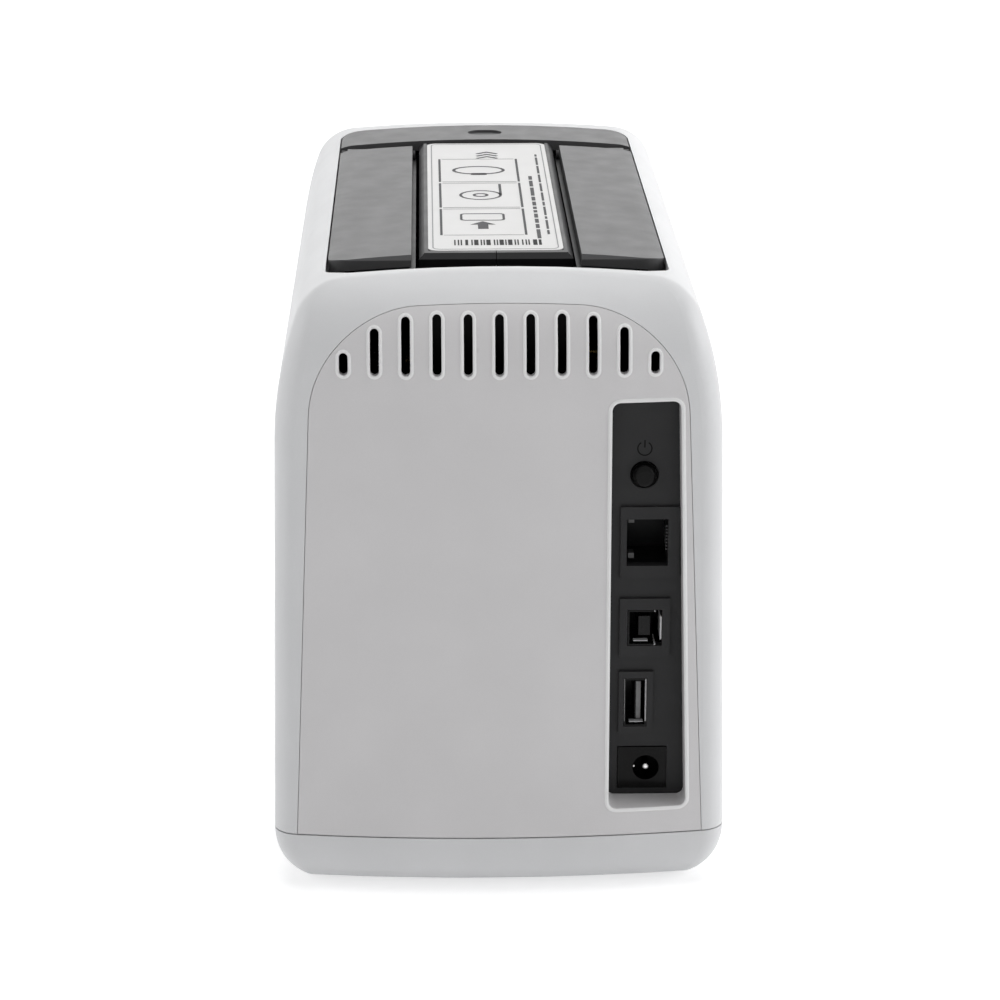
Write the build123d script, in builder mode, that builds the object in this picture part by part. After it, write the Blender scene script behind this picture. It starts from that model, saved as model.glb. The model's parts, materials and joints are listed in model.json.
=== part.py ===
from build123d import *
import os
from math import acos, atan2, cos, hypot, pi, radians, sin, sqrt, tan

# A wristband label printer, in millimetres. The front faces -Y, the connectors face +Y,
# and the origin is on the table under the middle of the housing.

# Housing and base
body_width = 126.5
body_length = 241.0
body_height = 175.5
foot_stand = 0.5
seam_height = 17.0
wall = 2.4
end_bow = 5.0
plan_corner = 7.0
draft = 1.15
flank_start = 130.0
flank_radius = 110.0
flank_turn = 40.0
shoulder_radius = 14.5
crown_radius = 500.0
end_round = 24.0
rim_rise = 1.0
base_round = 19.0
base_dip = 3.0
base_edge = 6.0
seam_gap = 0.4
lip_height = 2.5
lip_thickness = 1.6
lip_clearance = 0.2

# Panels set into the housing's walls
panel_gap = 0.5
panel_seam = 0.15
ledge_thickness = 1.6
ledge_reach = 3.0
seat_clearance = 0.1
rear_panel_foot = 113.2
rear_panel_slope = 2.5
rear_panel_top = 168.7
rear_panel_crown = 3.0
rear_panel_corner = 31.0
front_panel_width = 77.0
front_panel_height = 87.0
front_panel_middle = 112.5
front_panel_corner = 12.0

# Vent slots in the rear panel
vent_count = 11
vent_pitch = 8.35
vent_width = 2.4
vent_bottom = 150.2
vent_margin = 2.4
vent_room = 1.0

# Connector recess, its plate and its connectors, all by the plate's outer face
window_inner = 30.3
window_outer_low = 52.0
window_outer_high = 48.9
window_low = 25.0
window_high = 142.3
window_corner = 2.2
duct_wall = 1.6
plate_face = 108.5
plate_thickness = 2.0
plate_overlap = 2.2
rim_proud = 1.0
socket_side = 33.4
socket_clearance = 0.15
ethernet_height = 100.2
ethernet_offset = 7.4
ethernet_opening = (11.4, 13.5)
ethernet_rim = (16.2, 20.6)
ethernet_length = 21.0
ethernet_cavity = 14.0
ethernet_case_inset = 0.75
usb_b_height = 75.2
usb_b_offset = 7.0
usb_b_opening = (9.6, 10.6)
usb_b_rim = (14.0, 17.2)
usb_b_tongue = (3.2, 5.6)
usb_b_chamfer = 2.0
usb_b_length = 16.0
usb_a_height = 53.0
usb_a_offset = 4.65
usb_a_opening = (6.5, 14.4)
usb_a_rim = (9.6, 18.4)
usb_a_tongue = (1.6, 11.2)
usb_a_length = 14.0
shell_wall = 0.4
socket_back = 3.0
tongue_setback = 1.0
dc_height = 33.1
dc_block = (13.6, 12.4)
dc_hole_offset = 7.9
dc_bore = 7.4
dc_bore_depth = 10.0
dc_pin = 2.0
dc_pin_setback = 1.0
dc_proud = 0.4
power_button_side = 39.75
power_button_height = 119.5
power_button_width = 7.3
power_button_proud = 2.6
power_button_dome = 2.2
power_button_travel = 1.2
power_stem_radius = 1.5
power_stem_length = 2.6
power_switch_depth = 7.3
button_clearance = 0.3

# Top opening with its covers, bridge and cartridge slot
opening_width = 93.0
opening_front = -95.0
opening_rear = 97.0
opening_corner = 8.0
cover_wall = 3.2
cover_rear = 82.5
cover_corner = 6.0
cover_front = -72.0
cover_gap = 0.5
cover_bevel = 1.3
cover_bevel_height = 3.9
slot_width = 47.0
hinge_radius = 3.0
hinge_pin_radius = 1.25
hinge_ear = 1.6
running_clearance = 0.05
dimple_width = 11.0
dimple_length = 7.5
dimple_depth = 0.8

# Cartridge and the roll of bands in it
cartridge_width = 42.7
cartridge_rear = 80.0
cartridge_drop = 0.8
cartridge_wall = 1.8
cartridge_chamfer = 1.5
cartridge_split = 0.1
roll_radius = 59.0
roll_clearance = 1.7
roll_middle = 8.0
roll_height = 104.0
roll_band = 30.0
core_radius = 13.0
core_wall = 1.6
spindle_clearance = 0.3
spindle_wall = 2.0
chin_height = 84.0
tail_turn = -58.0
tail_bend = 5.0
shoulder_height = 149.0
band_thickness = 0.3
band_gap = 0.3
mouth_height = 4.4
mouth_side = 1.0
label_width = 37.6
label_front = -70.0
label_rear = 76.0
label_thickness = 0.25
label_corner = 3.0

# Bay that the cartridge drops into
bay_clearance = 1.0
bay_wall = 1.8
seat_pad_gap = 0.3
seat_pad_size = (20.0, 6.0)
bay_shelf = 168.4
shelf_thickness = 2.0
shelf_border = 2.0
bay_leg_middle = 58.0
bay_leg_width = 12.0
bay_leg_thickness = 6.0
bay_screw_inset = 12.0
bay_screw_heights = (96.0, 124.0)
leg_screw_top = 14.0
pad_thickness = 3.0
pad_inner_inset = 3.0
pad_outer_inset = 7.5
pad_rear_inset = 3.0

# Chassis, platen and gears
chassis_gap = 2.35
sheet = 1.5
chassis_front = -105.0
chassis_rear = -44.0
chassis_top = 136.0
chassis_screws = (-76.0, -52.0)
chassis_flange = 12.0
chassis_flange_inset = 8.0
chassis_chamfer = 4.0
platen_depth = -92.0
platen_radius = 8.0
platen_length = 34.0
platen_shaft_radius = 3.0
bushing_wall = 2.4
gear_module = 0.8
gear_addendum = 0.75
gear_dedendum = 1.1
pressure_angle = 20.0
flank_steps = 4
gear_backlash = 0.12
gear_width = 5.0
gear_offset = 3.0
platen_teeth = 40
idler_teeth = 30
pinion_teeth = 14
idler_lean = -80.0
motor_lean = -100.0
stud_radius = 2.5
motor_size = 35.2
motor_length = 26.0
motor_boss_radius = 11.0
motor_hole_spacing = 26.0
motor_shaft_radius = 2.5
motor_shaft_depth = 10.0
motor_hole_depth = 5.0
motor_chamfer = 2.4

# Print head above the platen
head_clearance = 0.4
head_depth = 12.0
head_thickness = 1.0
sink_thickness = 4.5
sink_depth = 15.0
fin_depth = 1.5
pivot_depth = -79.0
pivot_height = 120.0
pivot_radius = 2.0
ear_radius = 4.0
ear_inset = 2.0
spring_radius = 3.2
spring_wire = 0.8
spring_turns = 5
spring_spread = 26.0
spring_length = 14.3
half_beam = 5.0
beam_tab_height = 8.0
sensor_size = 8.0

# Band exit in the front
exit_width = 36.0
exit_height = 5.2
chute_wall = 1.5
chute_rear = -101.5
tear_thickness = 0.8
tear_pitch = 2.0
tear_depth = 0.9
tear_inset = 2.0

# Front buttons, lights and their board
button_height = 134.0
button_spread = 28.0
button_radius = 6.0
button_proud = 0.6
button_flange = 1.3
button_travel = 0.8
stem_radius = 2.0
front_switch_size = 6.0
front_switch_height = 4.0
light_height = 148.0
light_count = 3
light_spread = 12.0
light_radius = 1.6
button_board_face = -107.6
board_thickness = 1.6
button_board_width = 68.0
button_board_low = 122.0
button_board_high = 152.0
post_radius = 3.0
post_margin = 1.5
post_spread = 62.0
post_screw_length = 4.5

# Main board
board_gap = 0.2
board_front = 4.0
board_rear = 105.0
board_low = 24.0
board_high = 136.0
standoff_radius = 2.5
standoff_spots = [(20.0, 60.0), (20.0, 130.0), (62.0, 130.0), (56.0, 78.0)]
chip_height = 1.8
processor_size = 22.0
processor_y = 48.0
processor_z = 92.0
memory_count = 2
memory_pitch = 12.0
memory_width = 12.0
memory_length = 8.0
capacitor_radius = 4.0
capacitor_height = 12.0
capacitor_count = 3
capacitor_pitch = 10.0
capacitor_low = 32.0
capacitor_y = 74.0
coil_size = 12.0
coil_y = 48.0
coil_z = 40.0

# Fasteners and feet
screw_radius = 1.5
screw_head_radius = 2.8
screw_head = 2.0
screw_hex = 1.25
thread_clearance = 0.05
screw_floor = 1.5
boss_radius = 4.0
boss_side = 50.0
boss_end = 85.0
boss_top = 18.6
post_top = 44.0
base_screw_top = 36.0
foot_radius = 8.0
foot_side = 38.0
foot_end = 92.0
foot_recess = 1.5
pad_height = 2.0

# What follows from the sizes above
half_length = body_length / 2
half_width = body_width / 2
bow_radius = (half_width**2 + end_bow**2) / (2 * end_bow)
bow_centre = half_length - bow_radius
middle_length = (opening_front + opening_rear) / 2
panel_plane = opening_rear + 2 * shelf_border
panel_cut = half_length
base_floor = foot_stand + wall
stand_top = base_floor + pad_height
cartridge_front = cover_front + cover_gap
cartridge_top = body_height - cartridge_drop
cartridge_half = cartridge_width / 2
case_radius = roll_radius + roll_clearance + cartridge_wall
bay_half = cartridge_half + bay_clearance
bay_outer = bay_half + bay_wall
bay_front = cartridge_front - bay_clearance
chassis_inner = bay_outer + chassis_gap
chassis_outer = chassis_inner + sheet
platen_height = roll_height + band_thickness - platen_radius
nip_height = platen_height + platen_radius
head_height = nip_height + head_clearance
sink_height = head_height + head_thickness
bracket_height = sink_height + sink_thickness
bracket_top = bracket_height + sheet
hinge_depth = cover_front + hinge_radius + cover_gap
board_face = socket_side - board_gap
board_back = board_face - board_thickness
gear_plane = chassis_outer + gear_offset
screw_hole = screw_radius + thread_clearance


def level(height):
    return Plane.XY.offset(height)


def across(depth):
    return Plane.XZ.offset(-depth)


def beside(side):
    return Plane.YZ.offset(side)


# A box between two faces along each axis
def block(x_span, y_span, z_span, mode=Mode.ADD):
    middle = [(low + high) / 2 for low, high in (x_span, y_span, z_span)]
    size = [high - low for low, high in (x_span, y_span, z_span)]
    with Locations(tuple(middle)):
        Box(*size, mode=mode)


# A disc or a polygon on a plane, and bars of that section along each axis
def disc(plane, spot, radius, sides):
    with BuildSketch(plane) as face:
        with Locations(spot):
            if sides:
                RegularPolygon(radius, sides)
            else:
                Circle(radius)
    return face.sketch


def rod_x(y, z, radius, span, mode=Mode.ADD, sides=0):
    extrude(disc(beside(span[0]), (y, z), radius, sides), amount=span[1] - span[0], mode=mode)


def rod_y(x, z, radius, span, mode=Mode.ADD, sides=0):
    extrude(disc(across(span[0]), (x, z), radius, sides), amount=span[0] - span[1], mode=mode)


def rod_z(x, y, radius, span, mode=Mode.ADD, sides=0):
    extrude(disc(level(span[0]), (x, y), radius, sides), amount=span[1] - span[0], mode=mode)


# A place at a distance and an angle from another
def polar(start, radius, angle):
    return (start[0] + radius * cos(radians(angle)), start[1] + radius * sin(radians(angle)))


# How high the crowned top stands at a place across it, once it has moved in by an inset
def crown_height(side, inset):
    return body_height - crown_radius + sqrt((crown_radius - inset) ** 2 - side**2)


hinge_height = crown_height(opening_width / 2, 0) - hinge_radius - seat_clearance


# The plan at a height, moved in by an inset: straight sides and bowed ends
def plan_outline(inset, height):
    side = half_width - inset
    reach = bow_radius - inset
    corner = bow_centre + sqrt(reach**2 - side**2)
    end = bow_centre + reach
    with BuildSketch(level(height)) as outline:
        with BuildLine():
            Line((side, -corner), (side, corner))
            ThreePointArc((side, corner), (0, end), (-side, corner))
            Line((-side, corner), (-side, -corner))
            ThreePointArc((-side, -corner), (0, -end), (side, -corner))
        make_face()
        fillet(outline.vertices(), plan_corner - inset)
    return outline.sketch


# The housing's section across its width: leaning sides, a long curve and a tight one over
# each shoulder, and a crowned top
def housing_section(inset):
    lean = radians(draft)
    foot = half_width - inset / cos(lean)
    flank_side = half_width - tan(lean) * (flank_start - seam_height)
    flank_middle = (flank_side - flank_radius * cos(lean), flank_start - flank_radius * sin(lean))
    right = []
    for turn in (draft, flank_turn / 2, flank_turn):
        right.append(polar(flank_middle, flank_radius - inset, turn))
    left = [(-x, z) for x, z in right]
    with BuildSketch(across(half_length)) as section:
        with BuildLine():
            Line((-foot, seam_height), (foot, seam_height))
            Line((foot, seam_height), right[0])
            ThreePointArc(*right)
            Line(right[2], left[2])
            ThreePointArc(left[2], left[1], left[0])
            Line(left[0], (-foot, seam_height))
        make_face()
        with Locations((0, body_height - crown_radius)):
            Circle(crown_radius - inset, mode=Mode.INTERSECT)
        fillet(section.vertices().group_by(Axis.Y)[-1], shoulder_radius - inset)
    return section.sketch


# The base's section: its sides turn under in a wide curve that the flat bottom cuts off
def base_section(inset):
    side = half_width - inset
    foot = foot_stand + inset
    with BuildSketch(across(half_length)) as section:
        with Locations((0, (foot - base_dip + seam_height) / 2)):
            Rectangle(2 * side, seam_height - foot + base_dip)
        fillet(section.vertices().group_by(Axis.Y)[0], base_round - inset)
        with Locations((0, (foot + seam_height) / 2)):
            Rectangle(2 * side, seam_height - foot, mode=Mode.INTERSECT)
        fillet(section.vertices().group_by(Axis.Y)[0], base_edge - inset)
    return section.sketch


# A bowed end wall with its rounded edge, turned about the middle of its bow
def end_form(hand, low, high, lean, edge, edge_round):
    centre = hand * bow_centre
    foot = centre - hand * low
    top = foot + hand * tan(radians(lean)) * (high - seam_height)
    with BuildPart() as form:
        with BuildSketch(beside(0)) as profile:
            with BuildLine():
                Polyline((centre, seam_height), (foot, seam_height), (top, high), (centre, high))
                Line((centre, high), (centre, seam_height))
            make_face()
            corner = profile.vertices().group_by(Axis.Y)[edge].sort_by(Axis.X)
            fillet(corner[0] if hand > 0 else corner[-1], edge_round)
        revolve(axis=Axis((0, centre, 0), (0, 0, 1)))
    return form.part


# The closed form of the housing, and of the base under it: the section run from end to end,
# cut by both end walls, with every crease between them rounded
def housing_form(inset):
    reach = bow_radius - inset / cos(radians(draft))
    with BuildPart() as form:
        extrude(housing_section(inset), amount=body_length)
        for hand in (1, -1):
            high = body_height + rim_rise - inset
            add(end_form(hand, reach, high, draft, -1, end_round - inset), mode=Mode.INTERSECT)
        creases = form.edges().filter_by(lambda edge: edge.bounding_box().size.Z > seam_gap)
        fillet(creases, plan_corner - inset)
    return form.part


def base_form(inset):
    with BuildPart() as form:
        extrude(base_section(inset), amount=body_length)
        for hand in (1, -1):
            low = foot_stand - base_dip + inset
            add(end_form(hand, bow_radius - inset, low, 0, 0, base_round - inset), mode=Mode.INTERSECT)
        creases = form.edges().filter_by(lambda edge: edge.bounding_box().size.Z > seam_gap)
        rims = form.faces().sort_by(Axis.Z)[0].edges().filter_by(GeomType.CIRCLE)
        fillet(creases + rims, plan_corner - inset)
    return form.part


outer_form = housing_form(0)
skin_form = housing_form(wall - seat_clearance)
inner_form = housing_form(wall)
ledge_form = housing_form(wall + ledge_thickness)
cover_form = housing_form(cover_wall)
clear_form = housing_form(wall + lip_clearance)


# The rear panel's edge, seen from behind
def rear_outline(grow):
    foot = rear_panel_foot / 2
    shoulder_top = rear_panel_top - rear_panel_crown
    shoulder = foot - tan(radians(rear_panel_slope)) * (shoulder_top - seam_height)
    low = seam_height + seam_gap / 2
    with BuildSketch(across(panel_plane)) as outline:
        with BuildLine():
            Line((-foot, low), (foot, low))
            Line((foot, low), (shoulder, shoulder_top))
            ThreePointArc((shoulder, shoulder_top), (0, rear_panel_top), (-shoulder, shoulder_top))
            Line((-shoulder, shoulder_top), (-foot, low))
        make_face()
        fillet(outline.vertices().sort_by(Axis.Y)[-2:], rear_panel_corner)
        if grow:
            offset(amount=grow)
    return outline.sketch


def front_outline(grow):
    with BuildSketch(across(-panel_plane)) as outline:
        with Locations((0, front_panel_middle)):
            RectangleRounded(front_panel_width, front_panel_height, front_panel_corner)
        if grow:
            offset(amount=grow)
    return outline.sketch


# The top opening's edge, seen from above
def opening_outline(height, grow):
    length = opening_rear - opening_front + 2 * grow
    with BuildSketch(level(height)) as outline:
        with Locations((0, middle_length)):
            RectangleRounded(opening_width + 2 * grow, length, opening_corner + grow)
    return outline.sketch


# The connector recess, seen from behind, where the viewer's right is -X
def window_outline(depth, grow):
    with BuildSketch(across(depth)) as outline:
        with BuildLine():
            Polyline(
                (-window_inner, window_low),
                (-window_inner, window_high),
                (-window_outer_high, window_high),
                (-window_outer_low, window_low),
                close=True,
            )
        make_face()
        fillet(outline.vertices(), window_corner)
        if grow:
            offset(amount=grow)
    return outline.sketch


# A ledge behind a panel's edge, inside the housing's wall
def panel_ledge(outline, direction):
    with BuildPart() as ledge:
        add(inner_form)
        add(ledge_form, mode=Mode.SUBTRACT)
        extrude(outline(panel_gap + ledge_reach), amount=direction * panel_cut, mode=Mode.INTERSECT)
        extrude(outline(-ledge_reach), amount=direction * panel_cut, mode=Mode.SUBTRACT)
        ledge_low = seam_height + lip_height + panel_gap
        split(bisect_by=level(ledge_low), keep=Keep.TOP)
    return ledge.part


# Vent slots over the rear panel's shoulder, as high as its edge lets them be
def vent_top(side):
    arch_side = rear_panel_foot / 2 - tan(radians(rear_panel_slope)) * (rear_panel_top - seam_height)
    corner_start = arch_side - rear_panel_corner
    rise = max(abs(side) - corner_start, 0)
    corner_drop = rear_panel_corner - sqrt(rear_panel_corner**2 - rise**2)
    return rear_panel_top - corner_drop - vent_margin


def vent_outline(grow):
    with BuildSketch(across(panel_plane)) as outline:
        for count in range(vent_count):
            side = (count - (vent_count - 1) / 2) * vent_pitch
            low = vent_bottom - grow
            high = vent_top(side) + grow
            with Locations((side, (low + high) / 2)):
                SlotOverall(high - low, vent_width + 2 * grow, rotation=90)
    return outline.sketch


front_ledge = panel_ledge(front_outline, 1)
with BuildPart() as rear_ledge:
    add(panel_ledge(rear_outline, -1))
    plate_room = plate_overlap + panel_gap
    room_span = (window_low - plate_room, window_high + plate_room)
    block((-body_width, plate_room - window_inner), (0, body_length), room_span, Mode.SUBTRACT)
    extrude(vent_outline(vent_room), amount=-panel_cut, mode=Mode.SUBTRACT)

boss_spots = [(x, y) for x in (-boss_side, boss_side) for y in (-boss_end, boss_end)]

with BuildPart() as corner_posts:
    for post_x, post_y in boss_spots:
        rod_z(post_x, post_y, boss_radius, (boss_top + seat_clearance, post_top))
        rib_end = body_width / 2 if post_x > 0 else -body_width / 2
        rib_span = (min(post_x, rib_end), max(post_x, rib_end))
        block(rib_span, (post_y - sheet / 2, post_y + sheet / 2), (boss_top + wall, post_top))
    add(skin_form, mode=Mode.INTERSECT)
    for post_x, post_y in boss_spots:
        hole_span = (boss_top, post_top - wall)
        rod_z(post_x, post_y, screw_hole, hole_span, Mode.SUBTRACT)

# Housing: one tall shell, open below, at the back and at the top
with BuildPart() as main_housing:
    add(outer_form)
    add(inner_form, mode=Mode.SUBTRACT)
    extrude(rear_outline(panel_seam), amount=-panel_cut, mode=Mode.SUBTRACT)
    extrude(front_outline(panel_seam), amount=panel_cut, mode=Mode.SUBTRACT)
    extrude(opening_outline(bay_shelf, cover_gap), amount=body_height, mode=Mode.SUBTRACT)
    add(rear_ledge.part)
    add(front_ledge)
    add(corner_posts.part)
    split(bisect_by=level(seam_height + seam_gap / 2), keep=Keep.TOP)

# Base pan, with a lip inside the housing, screw bosses and pads for what stands on it
leg_middle = bay_half - bay_leg_thickness / 2
leg_spots = [(x, bay_leg_middle) for x in (-leg_middle, leg_middle)]
chassis_foot = chassis_outer + chassis_flange / 2
chassis_spots = [(x, y) for x in (-chassis_foot, chassis_foot) for y in chassis_screws]
foot_spots = [(x, y) for x in (-foot_side, foot_side) for y in (-foot_end, foot_end)]
recess_top = foot_stand + 2 * screw_head
floor_recess = recess_top - screw_head
base_top = seam_height - seam_gap / 2
lip_foot = base_top - lip_height
lip_inset = wall + lip_clearance
with BuildPart() as base_hollow:
    add(base_form(wall))
    split(bisect_by=level(lip_foot), keep=Keep.BOTTOM)

with BuildPart() as base_pan:
    add(base_form(0))
    split(bisect_by=level(base_top), keep=Keep.BOTTOM)
    extrude(plan_outline(lip_inset, base_top), amount=lip_height)
    extrude(plan_outline(lip_inset + lip_thickness, lip_foot), amount=body_height, mode=Mode.SUBTRACT)
    add(base_hollow.part, mode=Mode.SUBTRACT)
    for boss_x, boss_y in boss_spots:
        rod_z(boss_x, boss_y, boss_radius, (base_floor - seam_gap, boss_top))
    with BuildSketch(level(foot_stand)):
        with Locations(*foot_spots):
            Circle(foot_radius + seat_clearance)
    extrude(amount=foot_recess, mode=Mode.SUBTRACT)
    for boss_x, boss_y in boss_spots:
        rod_z(boss_x, boss_y, screw_head_radius + panel_gap, (0, recess_top), Mode.SUBTRACT)
        rod_z(boss_x, boss_y, screw_hole, (0, boss_top), Mode.SUBTRACT)
    for hole_x, hole_y in leg_spots + chassis_spots:
        rod_z(hole_x, hole_y, boss_radius, (base_floor - seam_gap, stand_top))
        rod_z(hole_x, hole_y, screw_head_radius + panel_gap, (0, floor_recess), Mode.SUBTRACT)
        rod_z(hole_x, hole_y, screw_hole, (0, seam_height), Mode.SUBTRACT)

# Rear panel, and a duct from the recess's edge to the plate
with BuildPart() as window_duct:
    extrude(window_outline(plate_face + seat_clearance, duct_wall), amount=-panel_cut)
    add(outer_form, mode=Mode.INTERSECT)

with BuildPart() as rear_panel:
    add(outer_form)
    add(skin_form, mode=Mode.SUBTRACT)
    extrude(rear_outline(0), amount=-panel_cut, mode=Mode.INTERSECT)
    add(window_duct.part)
    extrude(window_outline(panel_plane, 0), amount=-panel_cut, mode=Mode.SUBTRACT)
    extrude(vent_outline(0), amount=-panel_cut, mode=Mode.SUBTRACT)

# How far the front wall stands out at a place on it
def front_reach(side, height):
    reach = bow_radius - tan(radians(draft)) * (height - seam_height)
    return bow_centre + sqrt(reach**2 - side**2)


front_face = front_reach(0, nip_height)
button_face = front_reach(button_spread / 2, button_height)
button_spots = {"pause_button": button_spread / 2, "feed_button": -button_spread / 2}
post_inset = post_radius + post_margin
post_heights = (button_board_low + post_inset, button_board_high - post_inset)
post_spots = [(x, z) for x in (-post_spread / 2, post_spread / 2) for z in post_heights]
light_start = -light_spread * (light_count - 1) / 2
light_spots = [(light_start + count * light_spread, light_height) for count in range(light_count)]
exit_low = nip_height - exit_height / 2
exit_high = nip_height + exit_height / 2
tear_low = exit_high
tear_high = exit_high + tear_thickness
wall_span = (-half_length, -panel_plane)

# Front panel with the band exit, the button and light holes, and posts for its board
with BuildPart() as panel_posts:
    for post_x, post_z in post_spots:
        rod_y(post_x, post_z, post_radius, (-half_length, button_board_face))
    add(skin_form, mode=Mode.INTERSECT)

with BuildPart() as front_panel:
    add(outer_form)
    add(skin_form, mode=Mode.SUBTRACT)
    extrude(front_outline(0), amount=panel_cut, mode=Mode.INTERSECT)
    add(panel_posts.part)
    exit_side = exit_width / 2
    block((-exit_side, exit_side), (-body_length, chute_rear), (exit_low, tear_high), Mode.SUBTRACT)
    for spot in button_spots.values():
        rod_y(spot, button_height, button_radius + button_clearance, wall_span, Mode.SUBTRACT)
    for light_x, light_z in light_spots:
        rod_y(light_x, light_z, light_radius + running_clearance, wall_span, Mode.SUBTRACT)
    for post_x, post_z in post_spots:
        hole_span = (button_board_face - post_screw_length - panel_gap, button_board_face)
        rod_y(post_x, post_z, screw_hole, hole_span, Mode.SUBTRACT)

# Chute that guides the band from the platen to the slot, and the toothed strip over the slot
outer_side = exit_side + chute_wall
chute_high = tear_high + chute_wall
chute_front = wall + 2 * seat_clearance - front_reach(outer_side, chute_high)
with BuildPart() as exit_chute:
    chute_span = (chute_front, chute_rear)
    block((-outer_side, outer_side), chute_span, (exit_low - chute_wall, chute_high))
    block((-exit_side, exit_side), chute_span, (exit_low, tear_high), Mode.SUBTRACT)

tear_front = -(front_face - tear_depth)
tear_count = int(platen_length / tear_pitch)
with BuildPart() as tear_bar:
    with BuildSketch(level(tear_low)):
        with BuildLine():
            points = [(-platen_length / 2, chute_rear - tear_inset)]
            for tooth in range(tear_count):
                tooth_x = -platen_length / 2 + tooth * tear_pitch
                points.append((tooth_x, tear_front))
                points.append((tooth_x + tear_pitch / 2, tear_front - tear_depth / 2))
            points.append((-platen_length / 2 + tear_count * tear_pitch, tear_front))
            points.append((platen_length / 2, chute_rear - tear_inset))
            Polyline(*points, close=True)
        make_face()
    extrude(amount=tear_thickness - running_clearance)

# Front buttons: a cap through the panel, a flange behind it and a stem towards the board
flange_radius = button_radius + button_flange
flange_reach = front_reach(button_spread / 2 + flange_radius, button_height + flange_radius)
flange_front = wall + button_clearance - flange_reach
switch_face = button_board_face - front_switch_height
front_buttons = {}
for button_name, spot in button_spots.items():
    with BuildPart() as button:
        rod_y(spot, button_height, button_radius, (-button_face - button_proud, flange_front))
        rod_y(spot, button_height, flange_radius, (flange_front, flange_front + button_flange))
        stem_end = switch_face - button_travel - panel_gap
        rod_y(spot, button_height, stem_radius, (flange_front, stem_end))
        fillet(button.edges().filter_by(GeomType.CIRCLE).sort_by(Axis.Y)[0], button_proud)
    front_buttons[button_name] = button

with BuildPart() as status_lights:
    for light_x, light_z in light_spots:
        light_face = front_reach(abs(light_x), light_z)
        rod_y(light_x, light_z, light_radius, (-light_face + seat_clearance, switch_face))

with BuildPart() as button_board:
    board_side = button_board_width / 2
    face_span = (button_board_face, button_board_face + board_thickness)
    block((-board_side, board_side), face_span, (button_board_low, button_board_high))
    for spot in button_spots.values():
        half_switch = front_switch_size / 2
        switch_span = (button_height - half_switch, button_height + half_switch)
        block((spot - half_switch, spot + half_switch), (switch_face, button_board_face), switch_span)
    for light_x, light_z in light_spots:
        led_x = (light_x - light_radius, light_x + light_radius)
        led_z = (light_z - light_radius, light_z + light_radius)
        block(led_x, (switch_face + seat_clearance, button_board_face), led_z)
    for post_x, post_z in post_spots:
        rod_y(post_x, post_z, screw_hole, (-body_length, body_length), Mode.SUBTRACT)

# Covers beside the cartridge slot, cut from the housing's own form so that they lie flush
near_ear = (bay_half + button_clearance, bay_half + button_clearance + hinge_ear)
far_ear = (opening_width / 2 - button_clearance - hinge_ear, opening_width / 2 - button_clearance)
ear_spans = [near_ear, far_ear]
barrel_span = (near_ear[1] + button_clearance, far_ear[0] - button_clearance)
shelf_low = bay_shelf - shelf_thickness


def cover_plan():
    with BuildSketch(level(shelf_low)) as plan:
        with Locations((0, (cover_rear + opening_front) / 2)):
            RectangleRounded(opening_width, cover_rear - opening_front, cover_corner)
    return plan.sketch


# The barrel at a cover's front end, rounded about its pin and joined to the cover's plate
def hinge_barrel(plate_start):
    with BuildPart() as barrel:
        with BuildSketch(beside(barrel_span[0])):
            with Locations((hinge_depth, hinge_height)):
                Circle(hinge_radius)
            arm_high = hinge_height + hinge_radius
            arm_low = arm_high - cover_wall
            with Locations(((hinge_depth + plate_start + sheet) / 2, (arm_low + arm_high) / 2)):
                Rectangle(plate_start + sheet - hinge_depth, arm_high - arm_low)
            with Locations((hinge_depth, hinge_height)):
                Circle(hinge_pin_radius + running_clearance, mode=Mode.SUBTRACT)
        extrude(amount=barrel_span[1] - barrel_span[0])
    return barrel.part


def cover_piece(hand):
    inner_side = slot_width / 2
    outer_side = opening_width / 2
    plate_start = hinge_depth + hinge_radius + cover_gap
    barrel = hinge_barrel(plate_start)
    with BuildPart() as cover:
        add(outer_form)
        add(cover_form, mode=Mode.SUBTRACT)
        extrude(cover_plan(), amount=body_height, mode=Mode.INTERSECT)
        plate_depth = (plate_start, cover_rear)
        block((inner_side, outer_side), plate_depth, (shelf_low, body_height), Mode.INTERSECT)
        with BuildSketch(beside(0)):
            with BuildLine():
                Polyline(
                    (cover_rear - cover_bevel, body_height),
                    (cover_rear + cover_bevel, body_height),
                    (cover_rear + cover_bevel, body_height - cover_bevel_height),
                    close=True,
                )
            make_face()
        extrude(amount=body_width, mode=Mode.SUBTRACT)
        add(barrel)
        if hand < 0:
            mirror(about=Plane.YZ, mode=Mode.REPLACE)
    return cover


left_cover = cover_piece(1)
right_cover = cover_piece(-1)
pin_span = (ear_spans[0][0], ear_spans[1][1])
hinge_pins = {}
for pin_name, hand in (("left_hinge_pin", 1), ("right_hinge_pin", -1)):
    with BuildPart() as hinge_pin:
        span = sorted((hand * pin_span[0], hand * pin_span[1]))
        rod_x(hinge_depth, hinge_height, hinge_pin_radius, span)
    hinge_pins[pin_name] = hinge_pin

# Bridge across the front of the opening, with a shallow thumb dimple
bridge_rear = cover_front - cover_gap
with BuildPart() as front_bridge:
    add(outer_form)
    add(cover_form, mode=Mode.SUBTRACT)
    extrude(opening_outline(bay_shelf, 0), amount=body_height, mode=Mode.INTERSECT)
    bridge_depth = (-body_length, bridge_rear)
    block((-body_width, body_width), bridge_depth, (0, body_height + wall), Mode.INTERSECT)
    with BuildSketch(level(body_height)):
        with Locations((0, (opening_front + bridge_rear) / 2)):
            SlotOverall(dimple_width, dimple_length)
    extrude(amount=-dimple_depth, mode=Mode.SUBTRACT)

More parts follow.
